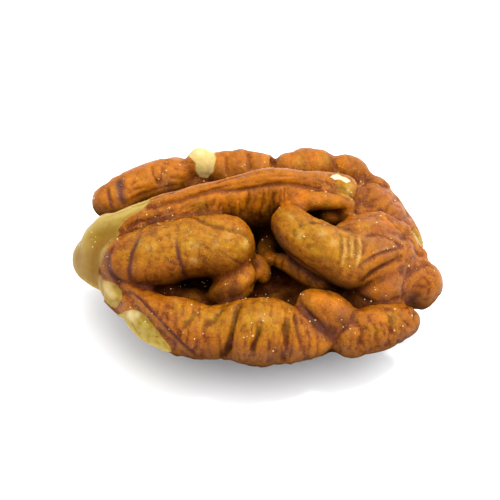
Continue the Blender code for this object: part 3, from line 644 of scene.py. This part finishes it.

# %% [markdown]
# ## Tints
# The skin's colour changes from lobe to lobe: olive where it is thin over pale flesh, orange and red where it is thick
# and folded, mauve in the veins, amber and white round the bare patches. Some tints are painted light and shade: olive
# and pale spots on the tops of the lobes are partly painted highlights, orange is partly painted light on the spine,
# its flank, the far lobes and the inner ridge, mauve along the lower edges is painted shade, and the dark spots are
# painted shade in the hollows. Noise can't put these in their places and an image can't be used, so each is a spot: a
# pixel, a radius in pixels and a strength. Wide tints are rings of pixels.

# %% Tints
TINTS = {
    # Olive marks thin skin over the flesh; on the tops of the lobes it is partly a painted highlight.
    "olive": [
        (150, 246, 13, 0.7), (190, 244, 12, 0.8), (243, 243, 11, 0.9), (225, 240, 14, 0.6), (168, 240, 11, 0.5),
        (125, 256, 9, 0.5), (300, 233, 10, 0.8), (322, 232, 10, 0.8), (334, 244, 8, 0.7), (286, 214, 7, 0.6),
        (346, 190, 13, 0.9), (250, 318, 10, 0.7), (215, 318, 11, 0.7), (270, 320, 9, 0.7), (190, 318, 10, 0.5),
        (238, 205, 10, 0.3), (268, 200, 7, 0.4), (300, 160, 10, 0.4), (325, 158, 9, 0.4), (140, 182, 10, 0.4),
        (115, 189, 5, 0.9), (365, 226, 8, 0.5), (178, 306, 7, 0.5), (393, 318, 9, 0.5), (375, 332, 8, 0.3),
        (346, 252, 10, 0.6), (200, 205, 8, 0.3), (330, 203, 8, 0.4), (312, 302, 7, 0.4), (165, 172, 8, 0.3),
        (356, 258, 8, 0.5), (370, 243, 8, 0.4), (279, 262, 6, 0.6), (294, 268, 6, 0.7), (308, 276, 6, 0.6),
        (243, 279, 5, 0.7), (416, 240, 5, 0.6), (405, 214, 6, 0.5),
    ],
    # Orange is partly the skin's own colour and partly painted light, on the spine, its flank, the far lobes and the
    # inner ridge that the lamps leave dim.
    "orange": [
        (182, 172, 9, 0.4), (225, 160, 11, 0.6), (245, 158, 11, 0.6), (264, 160, 9, 0.6), (290, 157, 12, 0.6),
        (315, 157, 12, 0.6), (342, 165, 11, 0.6), (300, 201, 8, 0.6), (318, 201, 8, 0.5), (346, 206, 6, 0.4),
        (278, 261, 9, 1.0), (292, 267, 9, 1.0), (285, 264, 9, 1.0), (299, 271, 9, 1.0), (305, 274, 9, 1.0),
        (318, 282, 8, 1.0), (272, 258, 8, 1.0), (330, 216, 8, 0.7), (220, 200, 11, 1.0), (240, 202, 12, 1.0),
        (262, 203, 12, 1.0), (284, 201, 12, 1.0), (302, 196, 10, 0.9), (372, 288, 10, 0.6), (388, 286, 10, 0.6),
        (180, 210, 9, 0.5), (320, 298, 9, 0.8), (335, 302, 8, 0.6), (258, 274, 6, 0.9), (264, 280, 5, 0.8),
        (385, 222, 9, 0.5), (378, 318, 9, 0.5), (335, 203, 9, 0.6), (243, 279, 6, 0.5), (382, 192, 6, 0.5),
        (396, 203, 5, 0.5),
    ],
    "red": [
        (400, 215, 22, 0.8), (420, 285, 22, 0.9), (392, 275, 18, 0.7), (380, 195, 16, 0.8), (105, 208, 12, 0.7),
        (290, 205, 12, 0.3), (360, 222, 9, 0.5), (345, 287, 12, 0.7), (330, 262, 9, 0.4), (345, 315, 13, 0.7),
        (324, 312, 12, 0.4), (372, 345, 18, 0.6), (405, 335, 14, 0.5), (170, 332, 11, 0.5), (305, 178, 13, 0.8),
        (332, 198, 7, 0.4), (240, 172, 13, 0.5), (222, 190, 10, 0.4), (122, 268, 7, 0.4), (240, 264, 9, 0.4),
        (302, 345, 12, 0.5), (200, 340, 13, 0.6), (240, 345, 13, 0.6), (272, 346, 13, 0.6), (300, 338, 12, 0.5),
        (150, 270, 12, 0.5), (215, 272, 10, 0.5), (320, 268, 10, 0.5), (290, 268, 18, 0.3), (180, 272, 8, 0.4),
        (215, 268, 9, 0.5), (270, 350, 12, 0.4), (210, 350, 12, 0.5), (160, 216, 9, 0.4), (380, 228, 14, 0.7),
        (385, 246, 14, 0.6), (236, 296, 12, 0.6),
    ],
    # Mauve follows the veins; along the lower edges of the lobes and rims it is painted shade.
    "mauve": [
        (300, 262, 6, 0.4), (312, 271, 7, 0.5), (326, 279, 7, 0.6), (340, 285, 7, 0.6), (275, 226, 4, 0.5),
        (282, 241, 4, 0.5), (366, 295, 9, 0.5), (384, 297, 9, 0.6), (398, 286, 10, 0.7), (403, 270, 8, 0.6),
        (386, 281, 9, 0.35), (384, 246, 12, 0.5), (368, 240, 10, 0.4), (394, 236, 9, 0.4), (418, 301, 9, 0.4),
        (433, 296, 8, 0.3), (190, 353, 8, 0.6), (210, 358, 8, 0.6), (230, 359, 8, 0.6), (250, 357, 8, 0.6),
        (270, 357, 8, 0.6), (290, 352, 8, 0.5), (308, 316, 9, 0.8), (320, 328, 10, 0.9), (341, 316, 8, 0.5),
        (333, 336, 8, 0.6), (345, 352, 9, 0.6), (361, 358, 9, 0.5), (385, 350, 9, 0.4), (402, 338, 8, 0.5),
        (105, 255, 5, 0.9), (106, 263, 5, 1.0), (109, 271, 5, 1.0), (115, 277, 5, 0.9), (131, 268, 4, 0.6),
        (150, 315, 5, 0.6), (162, 329, 5, 0.6), (175, 343, 5, 0.6), (188, 354, 5, 0.6), (122, 283, 8, 0.4),
        (150, 285, 8, 0.35), (180, 280, 8, 0.3), (167, 185, 12, 0.4),
    ],
    "amber": [(118, 306, 8, 0.6), (110, 297, 6, 0.5)],
    # These spots are painted shade: in the central hole, under the lobes and along their lower sides.
    "painted_shade": [
        (234, 293, 13, 0.85), (220, 297, 10, 0.85), (246, 288, 7, 0.5), (185, 288, 12, 0.7), (205, 293, 8, 0.8),
        (160, 287, 8, 0.7), (140, 287, 7, 0.7), (262, 238, 11, 0.8), (276, 285, 13, 1.0), (288, 300, 12, 1.0),
        (268, 292, 8, 0.9), (298, 286, 8, 0.6), (325, 292, 7, 0.5), (290, 297, 9, 0.9), (295, 268, 10, 0.35),
        (318, 280, 9, 0.45), (352, 296, 8, 0.6), (358, 213, 5, 0.5), (343, 290, 7, 0.5), (343, 322, 9, 0.6),
        (350, 306, 7, 0.5), (314, 326, 9, 0.6), (326, 334, 8, 0.6), (366, 284, 7, 0.6), (168, 189, 12, 0.5),
        (142, 196, 8, 0.5), (184, 183, 8, 0.5), (122, 204, 6, 0.4), (405, 268, 6, 0.3),
    ],
    # The white spot on the knob's top is a painted highlight; the others are cream flesh.
    "white": [(130, 315, 6, 0.5), (138, 314, 4, 0.4), (200, 152, 5, 0.5), (108, 292, 5, 0.3)],
    # The small pale spots on the lobes are painted highlights where they face the light; the last three are pale flesh
    # at the rim patches.
    "pale": [
        (150, 248, 5, 0.35), (192, 246, 5, 0.4), (194, 260, 5, 0.45), (246, 243, 6, 0.5), (228, 236, 5, 0.3),
        (300, 235, 5, 0.45), (322, 233, 5, 0.5), (334, 243, 5, 0.4), (291, 217, 4, 0.4), (200, 245, 4, 0.3),
        (176, 300, 4, 0.25), (262, 318, 5, 0.25), (350, 188, 6, 0.35), (140, 243, 4, 0.3), (216, 244, 4, 0.3),
        (107, 285, 7, 0.8), (112, 295, 6, 0.6), (133, 317, 7, 0.6),
    ],
}
TINT_SPREAD = 1.4
for layer, spots in TINTS.items():
    for u, v, radius, strength in spots:
        mark(layer, spot(u, v, radius, TINT_SPREAD), strength)
print(sum(len(spots) for spots in TINTS.values()), "spots of colour")

# %% Broad tints
# The mauve rings are partly painted shade on the lower sides of the right lobe and the near right rim, the orange rings
# partly painted light on the spine and the far left lobe, and the olive rings partly painted highlights on the tops.
BROAD_TINTS = [
    ("olive", 0.38, [(130, 238), (160, 226), (215, 216), (246, 230), (254, 250), (235, 262), (190, 258), (140, 264)]),
    ("olive", 0.38, [(232, 306), (262, 300), (292, 312), (298, 332), (262, 340), (238, 336), (200, 330), (176, 312)]),
    ("olive", 0.50, [(278, 210), (296, 212), (340, 228), (362, 240), (362, 264), (330, 266), (300, 250), (284, 230)]),
    ("orange", 0.85, [(156, 204), (180, 196), (215, 186), (262, 174), (300, 174), (326, 180), (326, 188), (290, 185),
                      (262, 184), (215, 192), (185, 199), (162, 207)]),
    ("orange", 0.55, [(98, 200), (108, 184), (130, 168), (160, 159), (184, 160), (192, 172), (170, 186), (140, 197),
                      (112, 209)]),
    ("red", 0.55, [(112, 262), (150, 266), (200, 268), (240, 264), (246, 274), (190, 282), (140, 288), (112, 282)]),
    ("mauve", 0.55, [(276, 232), (284, 244), (298, 262), (314, 272), (332, 280), (348, 282), (350, 291), (330, 289),
                     (310, 281), (293, 270), (278, 250)]),
    ("mauve", 0.65, [(300, 302), (310, 312), (322, 322), (334, 332), (340, 343), (326, 340), (312, 330), (300, 316)]),
    ("mauve", 0.40, [(352, 310), (358, 318), (346, 336), (336, 342), (334, 333), (344, 322)]),
    ("red", 0.45, [(392, 262), (408, 262), (440, 280), (440, 300), (420, 312), (400, 304), (384, 300), (384, 280)]),
]
for layer, amount, ring in BROAD_TINTS:
    mark(layer, ring_weight(ring, soft=7, reach=7, wander=3), amount)
print(len(BROAD_TINTS), "broad tints")

# %% [markdown]
# ## Small unevenness, and the press
# Skin that dries over flesh is never quite smooth, so two scales of noise lift and sink it, and the strokes and
# the relief are added. A Displace modifier could do this for one texture at a time, while here they all add up in
# one array. The broken tip stays smooth, the flat spot that the kernel rests on stays as it is, and no point may
# leave the CAD's box.

# %% Press everything into the skin
LUMP_SIZE, LUMP_HEIGHT = 2.2 * MM, 0.10 * MM
DIMPLE_SIZE, DIMPLE_HEIGHT = 0.75 * MM, 0.07 * MM
FLOOR_GAP, FLOOR_FADE = 0.05 * MM, 0.6 * MM
TIP_ROUNDS, TIP_SMOOTHING, TIP_CALM = 40, 0.8, 0.85
lumps = np.array([noise.noise(Vector(p) / LUMP_SIZE) for p in points])
dimples = np.array([abs(noise.noise(Vector(p) / DIMPLE_SIZE + Vector((7, 3, 1)))) - 0.2 for p in points])
wobble = LUMP_HEIGHT * lumps + DIMPLE_HEIGHT * dimples + relief
off_floor = np.clip((points[:, 2] - FLOOR_GAP) / FLOOR_FADE, 0, 1)
points += (smoothed(points, TIP_ROUNDS) - points) * (TIP_SMOOTHING * tip * off_floor)[:, None]
moved = (wobble * (1 - TIP_CALM * tip) - press) * off_floor
points += normals * moved[:, None]
low, high = np.array(cad_box[0]), np.array(cad_box[1])
points = np.clip(points, low, high)
write_points(skin_mesh, points)
normals = read(skin_mesh, "normal")
print("deepest press", round(press.max() / MM, 2), "mm, highest ridge", round(-press.min() / MM, 2), "mm")

# %% [markdown]
# ## Hollows
# Folds are darker than ridges: little light gets into them, so most of their darkening is painted shade, with some dust
# and oil. Three more layers come from the form itself. "hollow" and "raised" tell how far a point lies below or above
# the skin around it, and a third tells how much of the sky it can't see; that one darkens the skin as painted shade.
# The Ambient Occlusion node could find the last one, but it works only while rendering, and a stored number stays with
# the mesh.

# %% Hollows
FINE_ROUNDS, FINE_DEPTH, FINE_SHARE = 5, 0.020 * MM, 0.6
COARSE_ROUNDS, COARSE_DEPTH, COARSE_SHARE = 80, 0.40 * MM, 0.4
FURROW_PAINTED_SHADE = 0.28


def sunk(rounds, depth):
    """-1 to 1: how far each point lies under its smoothed surroundings, as a share of this depth."""
    return np.clip(((smoothed(points, rounds) - points) * normals).sum(1) / depth, -1, 1)


hollow = sunk(FINE_ROUNDS, FINE_DEPTH) * FINE_SHARE + sunk(COARSE_ROUNDS, COARSE_DEPTH) * COARSE_SHARE
# Hollow points are darkened later as painted shade, with some dust.
layers["hollow"] = np.clip(hollow, 0, 1)
layers["raised"] = np.clip(-hollow, 0, 1)
# The furrows between the streaks get painted shade.
layers["painted_shade"] = np.maximum(layers["painted_shade"], FURROW_PAINTED_SHADE * furrow_shade)
print("hollow points:", int((hollow > 0.5).sum()), "and raised points:", int((hollow < -0.5).sum()))

# %% How much sky each point sees
SKY_RAYS = 40
SKY_REACH = 9 * MM
RAY_START = 0.25 * MM
OPEN, CLOSED = 0.30, 0.80  # share of the sky hidden from an open point, and from a deep one
DEEP_ROUNDS = 6
# Orange tints hold back this painted shade.
ORANGE_LIGHT = 0.8  # how far an orange tint keeps a point from going dark
GOLDEN_ANGLE = math.pi * (3 - math.sqrt(5))
sample_mesh = with_modifiers(rough, [("WELD", {"merge_threshold": WELD_GAP})])
samples, sample_normals = read(sample_mesh), read(sample_mesh, "normal")
rays = []
for i in range(SKY_RAYS):
    height = math.sqrt(1 - (i + 0.5) / SKY_RAYS)
    spread = math.sqrt(1 - height**2)
    rays.append(Vector((spread * math.cos(GOLDEN_ANGLE * i), spread * math.sin(GOLDEN_ANGLE * i), height)))
finder = kdtree.KDTree(len(samples))
blocked = np.zeros(len(samples))
for i, (place, normal) in enumerate(zip(samples, sample_normals)):
    finder.insert(place, i)
    start = Vector(place) + Vector(normal) * RAY_START
    hits = sum(ray.dot(normal) < 0 or tree.ray_cast(start, ray, SKY_REACH)[0] is not None for ray in rays)
    blocked[i] = hits / SKY_RAYS
finder.balance()
nearest = [finder.find(p)[1] for p in points]
depths = np.clip((blocked[nearest] - OPEN) / (CLOSED - OPEN), 0, 1)
layers["deep"] = smoothed(depths, DEEP_ROUNDS) * (1 - ORANGE_LIGHT * layers["orange"])
# Nearly black painted shade in the central hole and the gap beside it.
PAINTED_SHADE_IN_HOLES = [(286, 284, 11, 1.0), (288, 298, 10, 0.9), (276, 292, 8, 0.8), (234, 295, 10, 0.5), (220, 298, 9, 0.5)]
for u, v, radius, strength in PAINTED_SHADE_IN_HOLES:
    mark("deep", spot(u, v, radius, TINT_SPREAD), strength)
print("deep points:", int((layers["deep"] > 0.5).sum()))

for name, values in layers.items():
    write_attribute(skin_mesh, name, values)

# %% [markdown]
# ### The skin as a piece
# The finished mesh becomes the one piece that stands in for the CAD's node. It stays one mesh, like the real
# skin, so that no seam shows where its finishes meet.

# %% Kernel skin object
skin_mesh.shade_smooth()
kernel_skin = bpy.data.objects.new("kernel_skin", skin_mesh)
bpy.context.scene.collection.objects.link(kernel_skin)
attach(kernel_skin, "root")
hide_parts("kernel")
print("kernel_skin has", len(layers), "layers for its material")

# %% [markdown]
# ## Materials
# Both finishes are made from noise and from the layers stored on the mesh, so they need no image and can be baked.
# Colours are written as sRGB hex and turned into the linear values that the shader works in. Pattern sizes are
# real sizes in millimetres, because Object coordinates are in metres. Small functions add the nodes, which keeps
# each material short enough to read.

# %% Material tools


def colour(hex_code):
    """Linear RGBA from an sRGB hex code."""
    values = [int(hex_code[i:i + 2], 16) / 255 for i in (1, 3, 5)]
    return [v / 12.92 if v <= 0.04045 else ((v + 0.055) / 1.055) ** 2.4 for v in values] + [1.0]


def feed(tree, socket, value):
    """Links a value that comes from a node, and sets any other."""
    if isinstance(value, bpy.types.NodeSocket):
        tree.links.new(value, socket)
    else:
        socket.default_value = value


def add_node(tree, kind, settings=None, inputs=None):
    """Adds a node with its settings, and sets or links its inputs."""
    node = tree.nodes.new(kind)
    for name, value in (settings or {}).items():
        setattr(node, name, value)
    for name, value in (inputs or {}).items():
        feed(tree, node.inputs[name], value)
    return node


def noise_of(tree, where, size_mm, detail=3.0, roughness=0.55, distortion=0.0):
    """A noise whose blobs are about this big."""
    return add_node(tree, "ShaderNodeTexNoise", None, {
        "Vector": where, "Scale": 1 / (size_mm * MM), "Detail": detail, "Roughness": roughness,
        "Distortion": distortion}).outputs["Fac"]


def ramp_of(tree, value, low, high):
    """0 at low, 1 at high, straight between."""
    return add_node(tree, "ShaderNodeMapRange", {"clamp": True}, {
        "Value": value, "From Min": low, "From Max": high}).outputs["Result"]


def blend_of(tree, factor, first, second):
    """Mixes two colours."""
    node = add_node(tree, "ShaderNodeMix", {"data_type": "RGBA"})
    for socket, value in ((node.inputs[0], factor), (node.inputs[6], first), (node.inputs[7], second)):
        feed(tree, socket, value)
    return node.outputs[2]


def math_of(tree, operation, first, second=0.0):
    """One step of arithmetic, kept between 0 and 1 except for a difference."""
    node = add_node(tree, "ShaderNodeMath", {"operation": operation, "use_clamp": operation != "SUBTRACT"})
    feed(tree, node.inputs[0], first)
    feed(tree, node.inputs[1], second)
    return node.outputs[0]


def layer_of(tree, name):
    """One of the numbers stored at the mesh's points."""
    return add_node(tree, "ShaderNodeAttribute", {"attribute_name": name}).outputs["Fac"]


def new_material(name):
    """A material, its nodes and its shader."""
    material = bpy.data.materials.new(name)
    material.use_nodes = True
    return material, material.node_tree, material.node_tree.nodes["Principled BSDF"]


# %% [markdown]
# ### Walnut skin
# A thin, oily, papery skin over pale flesh, with a satin gloss. It is orange-brown, olive where it is thin and
# red-brown in the folds, with painted shade that makes the folds nearly black where they are deep, and painted
# highlights and painted light that lighten the tops of the lobes, the spine and the inner ridge. The veins are
# purple-brown. Mixing few colours by one large noise looks like paint, so four sizes of noise are laid over each other
# and the layers tint the sum.

# %% Patterns of the skin
skin, nodes, shader = new_material("walnut skin")
where = add_node(nodes, "ShaderNodeTexCoord").outputs["Object"]
broad = noise_of(nodes, where, 2.2, detail=3.0, distortion=0.2)
patches = noise_of(nodes, where, 0.80, detail=6.0, roughness=0.68, distortion=0.15)
flecks = noise_of(nodes, where, 0.22, detail=4.0, roughness=0.75)
grit = noise_of(nodes, where, 0.12, detail=2.0, roughness=0.6)
threads = noise_of(nodes, where, 1.3, detail=2.0, roughness=0.5, distortion=1.2)


def share_of(value, part):
    return math_of(nodes, "MULTIPLY", value, part)


def laid_over(under, amount, part, code):
    """The colour over another one, by this part of an amount."""
    return blend_of(nodes, share_of(amount, part), under, colour(code))


# %% Colours of the skin
body = blend_of(nodes, ramp_of(nodes, broad, 0.35, 0.65), colour("#632601"), colour("#8D4904"))
for pattern, none, full, part, code in [
    (patches, 0.48, 0.66, 0.75, "#9F6006"), (patches, 0.47, 0.32, 0.60, "#471601"),
    (flecks, 0.54, 0.70, 0.75, "#A66A0F"), (flecks, 0.46, 0.30, 0.8, "#3F1401"),
]:
    body = laid_over(body, ramp_of(nodes, pattern, none, full), part, code)
uneven = math_of(nodes, "ADD", ramp_of(nodes, patches, 0.38, 0.58), 0.3)
# Olive and pale are partly painted highlights on the tops of the lobes, orange partly painted light, mauve partly
# painted shade at the lower edges, and hollow painted shade in the folds, with some dust.
for name, broken, part, code in [
    ("olive", True, 0.85, "#A8820E"), ("orange", False, 0.75, "#C46D09"), ("red", True, 0.75, "#672804"),
    ("mauve", False, 0.75, "#5A3B37"), ("pale", True, 0.80, "#C8AC6C"), ("raised", False, 0.40, "#9F630E"),
    ("hollow", False, 0.70, "#3C0F01"),
]:
    tint = layer_of(nodes, name)
    body = laid_over(body, share_of(tint, uneven) if broken else tint, part, code)
thread = ramp_of(nodes, math_of(nodes, "ABSOLUTE", math_of(nodes, "SUBTRACT", threads, 0.5)), 0.018, 0.0)
body = laid_over(body, thread, share_of(ramp_of(nodes, broad, 0.45, 0.6), 0.35), "#431B06")
body = laid_over(body, ramp_of(nodes, grit, 0.62, 0.72), 0.65, "#350F01")
# Golden specks of the skin, partly painted glints.
body = laid_over(body, ramp_of(nodes, grit, 0.40, 0.28), 0.45, "#BE8128")
vein = share_of(layer_of(nodes, "vein"), math_of(nodes, "ADD", ramp_of(nodes, flecks, 0.30, 0.55), 0.35))
body = laid_over(body, vein, 0.85, "#482018")
# Painted shade in the creases, in the furrows between streaks and in the dark spots.
body = laid_over(body, layer_of(nodes, "painted_shade"), 0.78, "#2B0A01")
# Nearly black painted shade where the folds see little sky; the gloss is dulled there too.
body = laid_over(body, layer_of(nodes, "deep"), 0.92, "#130200")

# %% Colours of the bare flesh
flesh = blend_of(nodes, ramp_of(nodes, patches, 0.3, 0.7), colour("#7E600E"), colour("#8F781D"))
# In the flesh too, hollow adds painted shade in the hollows.
for name, part, code in [
    ("amber", 0.85, "#765013"), ("raised", 0.28, "#BCAC6C"), ("pale", 0.85, "#C0A86A"), ("white", 0.9, "#D2C6A0"),
    ("hollow", 0.25, "#7A561E"),
]:
    flesh = laid_over(flesh, layer_of(nodes, name), part, code)
bare_edge = math_of(nodes, "ADD", layer_of(nodes, "bare"), share_of(math_of(nodes, "SUBTRACT", flecks, 0.5), 0.6))
bare = ramp_of(nodes, bare_edge, 0.38, 0.58)
nodes.links.new(blend_of(nodes, bare, body, flesh), shader.inputs["Base Color"])

# %% Gloss, glow and fine relief of the skin
gloss = add_node(nodes, "ShaderNodeMapRange", None, {
    "Value": patches, "From Min": 0.25, "From Max": 0.75, "To Min": 0.20, "To Max": 0.46})
matt = math_of(nodes, "ADD", gloss.outputs[0], share_of(layer_of(nodes, "deep"), 0.5))
nodes.links.new(matt, shader.inputs["Roughness"])
shader.inputs["IOR"].default_value = 1.45  # nut oil
for socket, amount, at_none, at_full in (
    ("Specular IOR Level", layer_of(nodes, "deep"), 0.12, 0.01), ("Subsurface Weight", bare, 0.10, 0.6),
):
    ranged = add_node(nodes, "ShaderNodeMapRange", None, {"Value": amount, "To Min": at_none, "To Max": at_full})
    nodes.links.new(ranged.outputs[0], shader.inputs[socket])
shader.inputs["Subsurface Radius"].default_value = (1.0, 0.45, 0.15)
shader.inputs["Subsurface Scale"].default_value = 0.7 * MM

wrinkles = noise_of(nodes, where, 0.30, detail=4.0, roughness=0.65, distortion=0.8)
bump = add_node(nodes, "ShaderNodeBump", None, {"Height": wrinkles, "Strength": 1.0, "Distance": 0.10 * MM})
bump = add_node(nodes, "ShaderNodeBump", None, {
    "Height": grit, "Strength": 0.7, "Distance": 0.035 * MM, "Normal": bump.outputs[0]})
nodes.links.new(bump.outputs[0], shader.inputs["Normal"])
skin_mesh.materials.append(skin)
print(skin.name, "has", len(nodes.nodes), "nodes")

# %% [markdown]
# ## Crumbs
# Breaking and rubbing leave small cream crumbs of flesh on the skin. Thousands of separate objects would be slow, and
# particles aren't part of the mesh, so Geometry Nodes scatters them, with a seed, in clumps over the parts that face
# up, and makes them real geometry at the end. Each is a jagged ball of twenty faces.

# %% Crumb material
crumb_material, nodes, shader = new_material("crumb of flesh")
where = add_node(nodes, "ShaderNodeTexCoord").outputs["Object"]
grain = noise_of(nodes, where, 0.5)
nodes.links.new(blend_of(nodes, grain, colour("#CFC196"), colour("#B49C68")), shader.inputs["Base Color"])
shader.inputs["Roughness"].default_value = 0.6
shader.inputs["Subsurface Weight"].default_value = 0.3
shader.inputs["Subsurface Radius"].default_value = (1.0, 0.8, 0.5)
shader.inputs["Subsurface Scale"].default_value = 0.1 * MM

# %% Scatter the crumbs
CRUMB_SEED = 5
CRUMBS_PER_M2 = 2.3e6
CRUMB_RADIUS = 0.036 * MM
CRUMB_JAG = 0.02 * MM
CRUMB_FACES = 20
CLUMP_SIZE = 1.6 * MM

scatter = bpy.data.node_groups.new("scatter crumbs", "GeometryNodeTree")
scatter.interface.new_socket("Geometry", in_out="INPUT", socket_type="NodeSocketGeometry")
scatter.interface.new_socket("Geometry", in_out="OUTPUT", socket_type="NodeSocketGeometry")
source = add_node(scatter, "NodeGroupInput").outputs[0]
normal = add_node(scatter, "GeometryNodeInputNormal").outputs[0]
facing = add_node(scatter, "ShaderNodeSeparateXYZ", None, {0: normal})
upward = add_node(scatter, "ShaderNodeMapRange", None, {"Value": facing.outputs[2], "From Min": 0.1, "From Max": 0.7})
clumps = add_node(scatter, "ShaderNodeTexNoise", None, {"Scale": 1 / CLUMP_SIZE, "Detail": 2.0})
clumped = add_node(scatter, "ShaderNodeMapRange", None, {
    "Value": clumps.outputs[0], "From Min": 0.42, "From Max": 0.70})
share = add_node(scatter, "ShaderNodeMath", {"operation": "MULTIPLY"}, {0: upward.outputs[0], 1: clumped.outputs[0]})
density = add_node(scatter, "ShaderNodeMath", {"operation": "MULTIPLY"}, {0: share.outputs[0], 1: CRUMBS_PER_M2})
spread = add_node(scatter, "GeometryNodeDistributePointsOnFaces", {"distribute_method": "RANDOM"}, {
    "Mesh": source, "Seed": CRUMB_SEED, "Density": density.outputs[0]})
ball = add_node(scatter, "GeometryNodeMeshIcoSphere", None, {"Radius": CRUMB_RADIUS, "Subdivisions": 1})
push = add_node(scatter, "FunctionNodeRandomValue", {"data_type": "FLOAT_VECTOR"}, {
    0: (-CRUMB_JAG,) * 3, 1: (CRUMB_JAG,) * 3, "Seed": CRUMB_SEED})
jag = add_node(scatter, "GeometryNodeSetPosition", None, {"Geometry": ball.outputs[0], "Offset": push.outputs[0]})
size = add_node(scatter, "FunctionNodeRandomValue", {"data_type": "FLOAT"}, {2: 0.0, 3: 1.0, "Seed": CRUMB_SEED + 1})
sharper = add_node(scatter, "ShaderNodeMath", {"operation": "POWER"}, {0: size.outputs[1], 1: 3.0})
scale = add_node(scatter, "ShaderNodeMapRange", None, {"Value": sharper.outputs[0], "To Min": 0.5, "To Max": 2.1})
spin = add_node(scatter, "FunctionNodeRandomValue", {"data_type": "FLOAT_VECTOR"}, {
    0: (0,) * 3, 1: (math.tau,) * 3, "Seed": CRUMB_SEED + 2})
placed = add_node(scatter, "GeometryNodeInstanceOnPoints", None, {
    "Points": spread.outputs[0], "Instance": jag.outputs[0], "Scale": scale.outputs[0], "Rotation": spin.outputs[0]})
real = add_node(scatter, "GeometryNodeRealizeInstances", None, {"Geometry": placed.outputs[0]})
painted = add_node(scatter, "GeometryNodeSetMaterial", None, {"Geometry": real.outputs[0], "Material": crumb_material})
add_node(scatter, "NodeGroupOutput", None, {0: painted.outputs[0]})

# %% Crumbs object
crumb_mesh = with_modifiers(skin_mesh.copy(), [("NODES", {"node_group": scatter})])
crumb_mesh.name = "crumbs"
crumb_points = read(crumb_mesh)
inside = np.all((crumb_points > low) & (crumb_points < high), axis=1)
print("crumbs:", len(crumb_mesh.polygons) // CRUMB_FACES, "with", int((~inside).sum()), "points past the CAD box")
write_points(crumb_mesh, np.clip(crumb_points, low, high))
crumbs = bpy.data.objects.new("crumbs", crumb_mesh)
bpy.context.scene.collection.objects.link(crumbs)
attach(crumbs, "root")

# %% [markdown]
# ## Table and light
# The kernel lies on a white table that is lit until it is nearly as bright as the page, as in a shop's picture. A
# box of area lamps would give a shadow that changes with their distance, so two suns stand in for the sky: a wide
# one for the soft light from the right, and a small one for the glints. An even room keeps the shadows light.

# %% Table
TABLE = 0.6
CORNERS = [(-TABLE, -TABLE, 0), (TABLE, -TABLE, 0), (TABLE, TABLE, 0), (-TABLE, TABLE, 0)]
table_mesh = bpy.data.meshes.new("table")
table_mesh.from_pydata(CORNERS, [], [(0, 1, 2, 3)])
table = bpy.data.objects.new("table", table_mesh)
bpy.context.scene.collection.objects.link(table)
table_material, nodes, shader = new_material("white table")
shader.inputs["Base Color"].default_value = colour("#F6F6F7")
shader.inputs["Roughness"].default_value = 0.6
shader.inputs["Specular IOR Level"].default_value = 0.2
table_mesh.materials.append(table_material)

# %% Light
ROOM_LIGHT = 1.36


def sky_light(name, towards, spread, power):
    """Light from far away in this direction, from this many degrees of sky, in watts per square metre."""
    lamp = bpy.data.lights.new(name, "SUN")
    lamp.angle = math.radians(spread)
    lamp.energy = power
    holder = bpy.data.objects.new(name, lamp)
    holder.location = Vector(towards).normalized() * 0.3
    holder.rotation_mode = "QUATERNION"
    holder.rotation_quaternion = Vector(towards).to_track_quat("Z", "Y")
    bpy.context.scene.collection.objects.link(holder)


world = bpy.data.worlds.new("room")
bpy.context.scene.world = world
world.use_nodes = True
room = world.node_tree.nodes["Background"]
room.inputs["Color"].default_value = colour("#FFFFFF")
room.inputs["Strength"].default_value = ROOM_LIGHT
sky_light("key", (0.46, 0.10, 0.88), 85, 2.2)
sky_light("window", (0.30, 0.10, 0.95), 12, 2.0)
bpy.context.scene.view_settings.view_transform = "Standard"
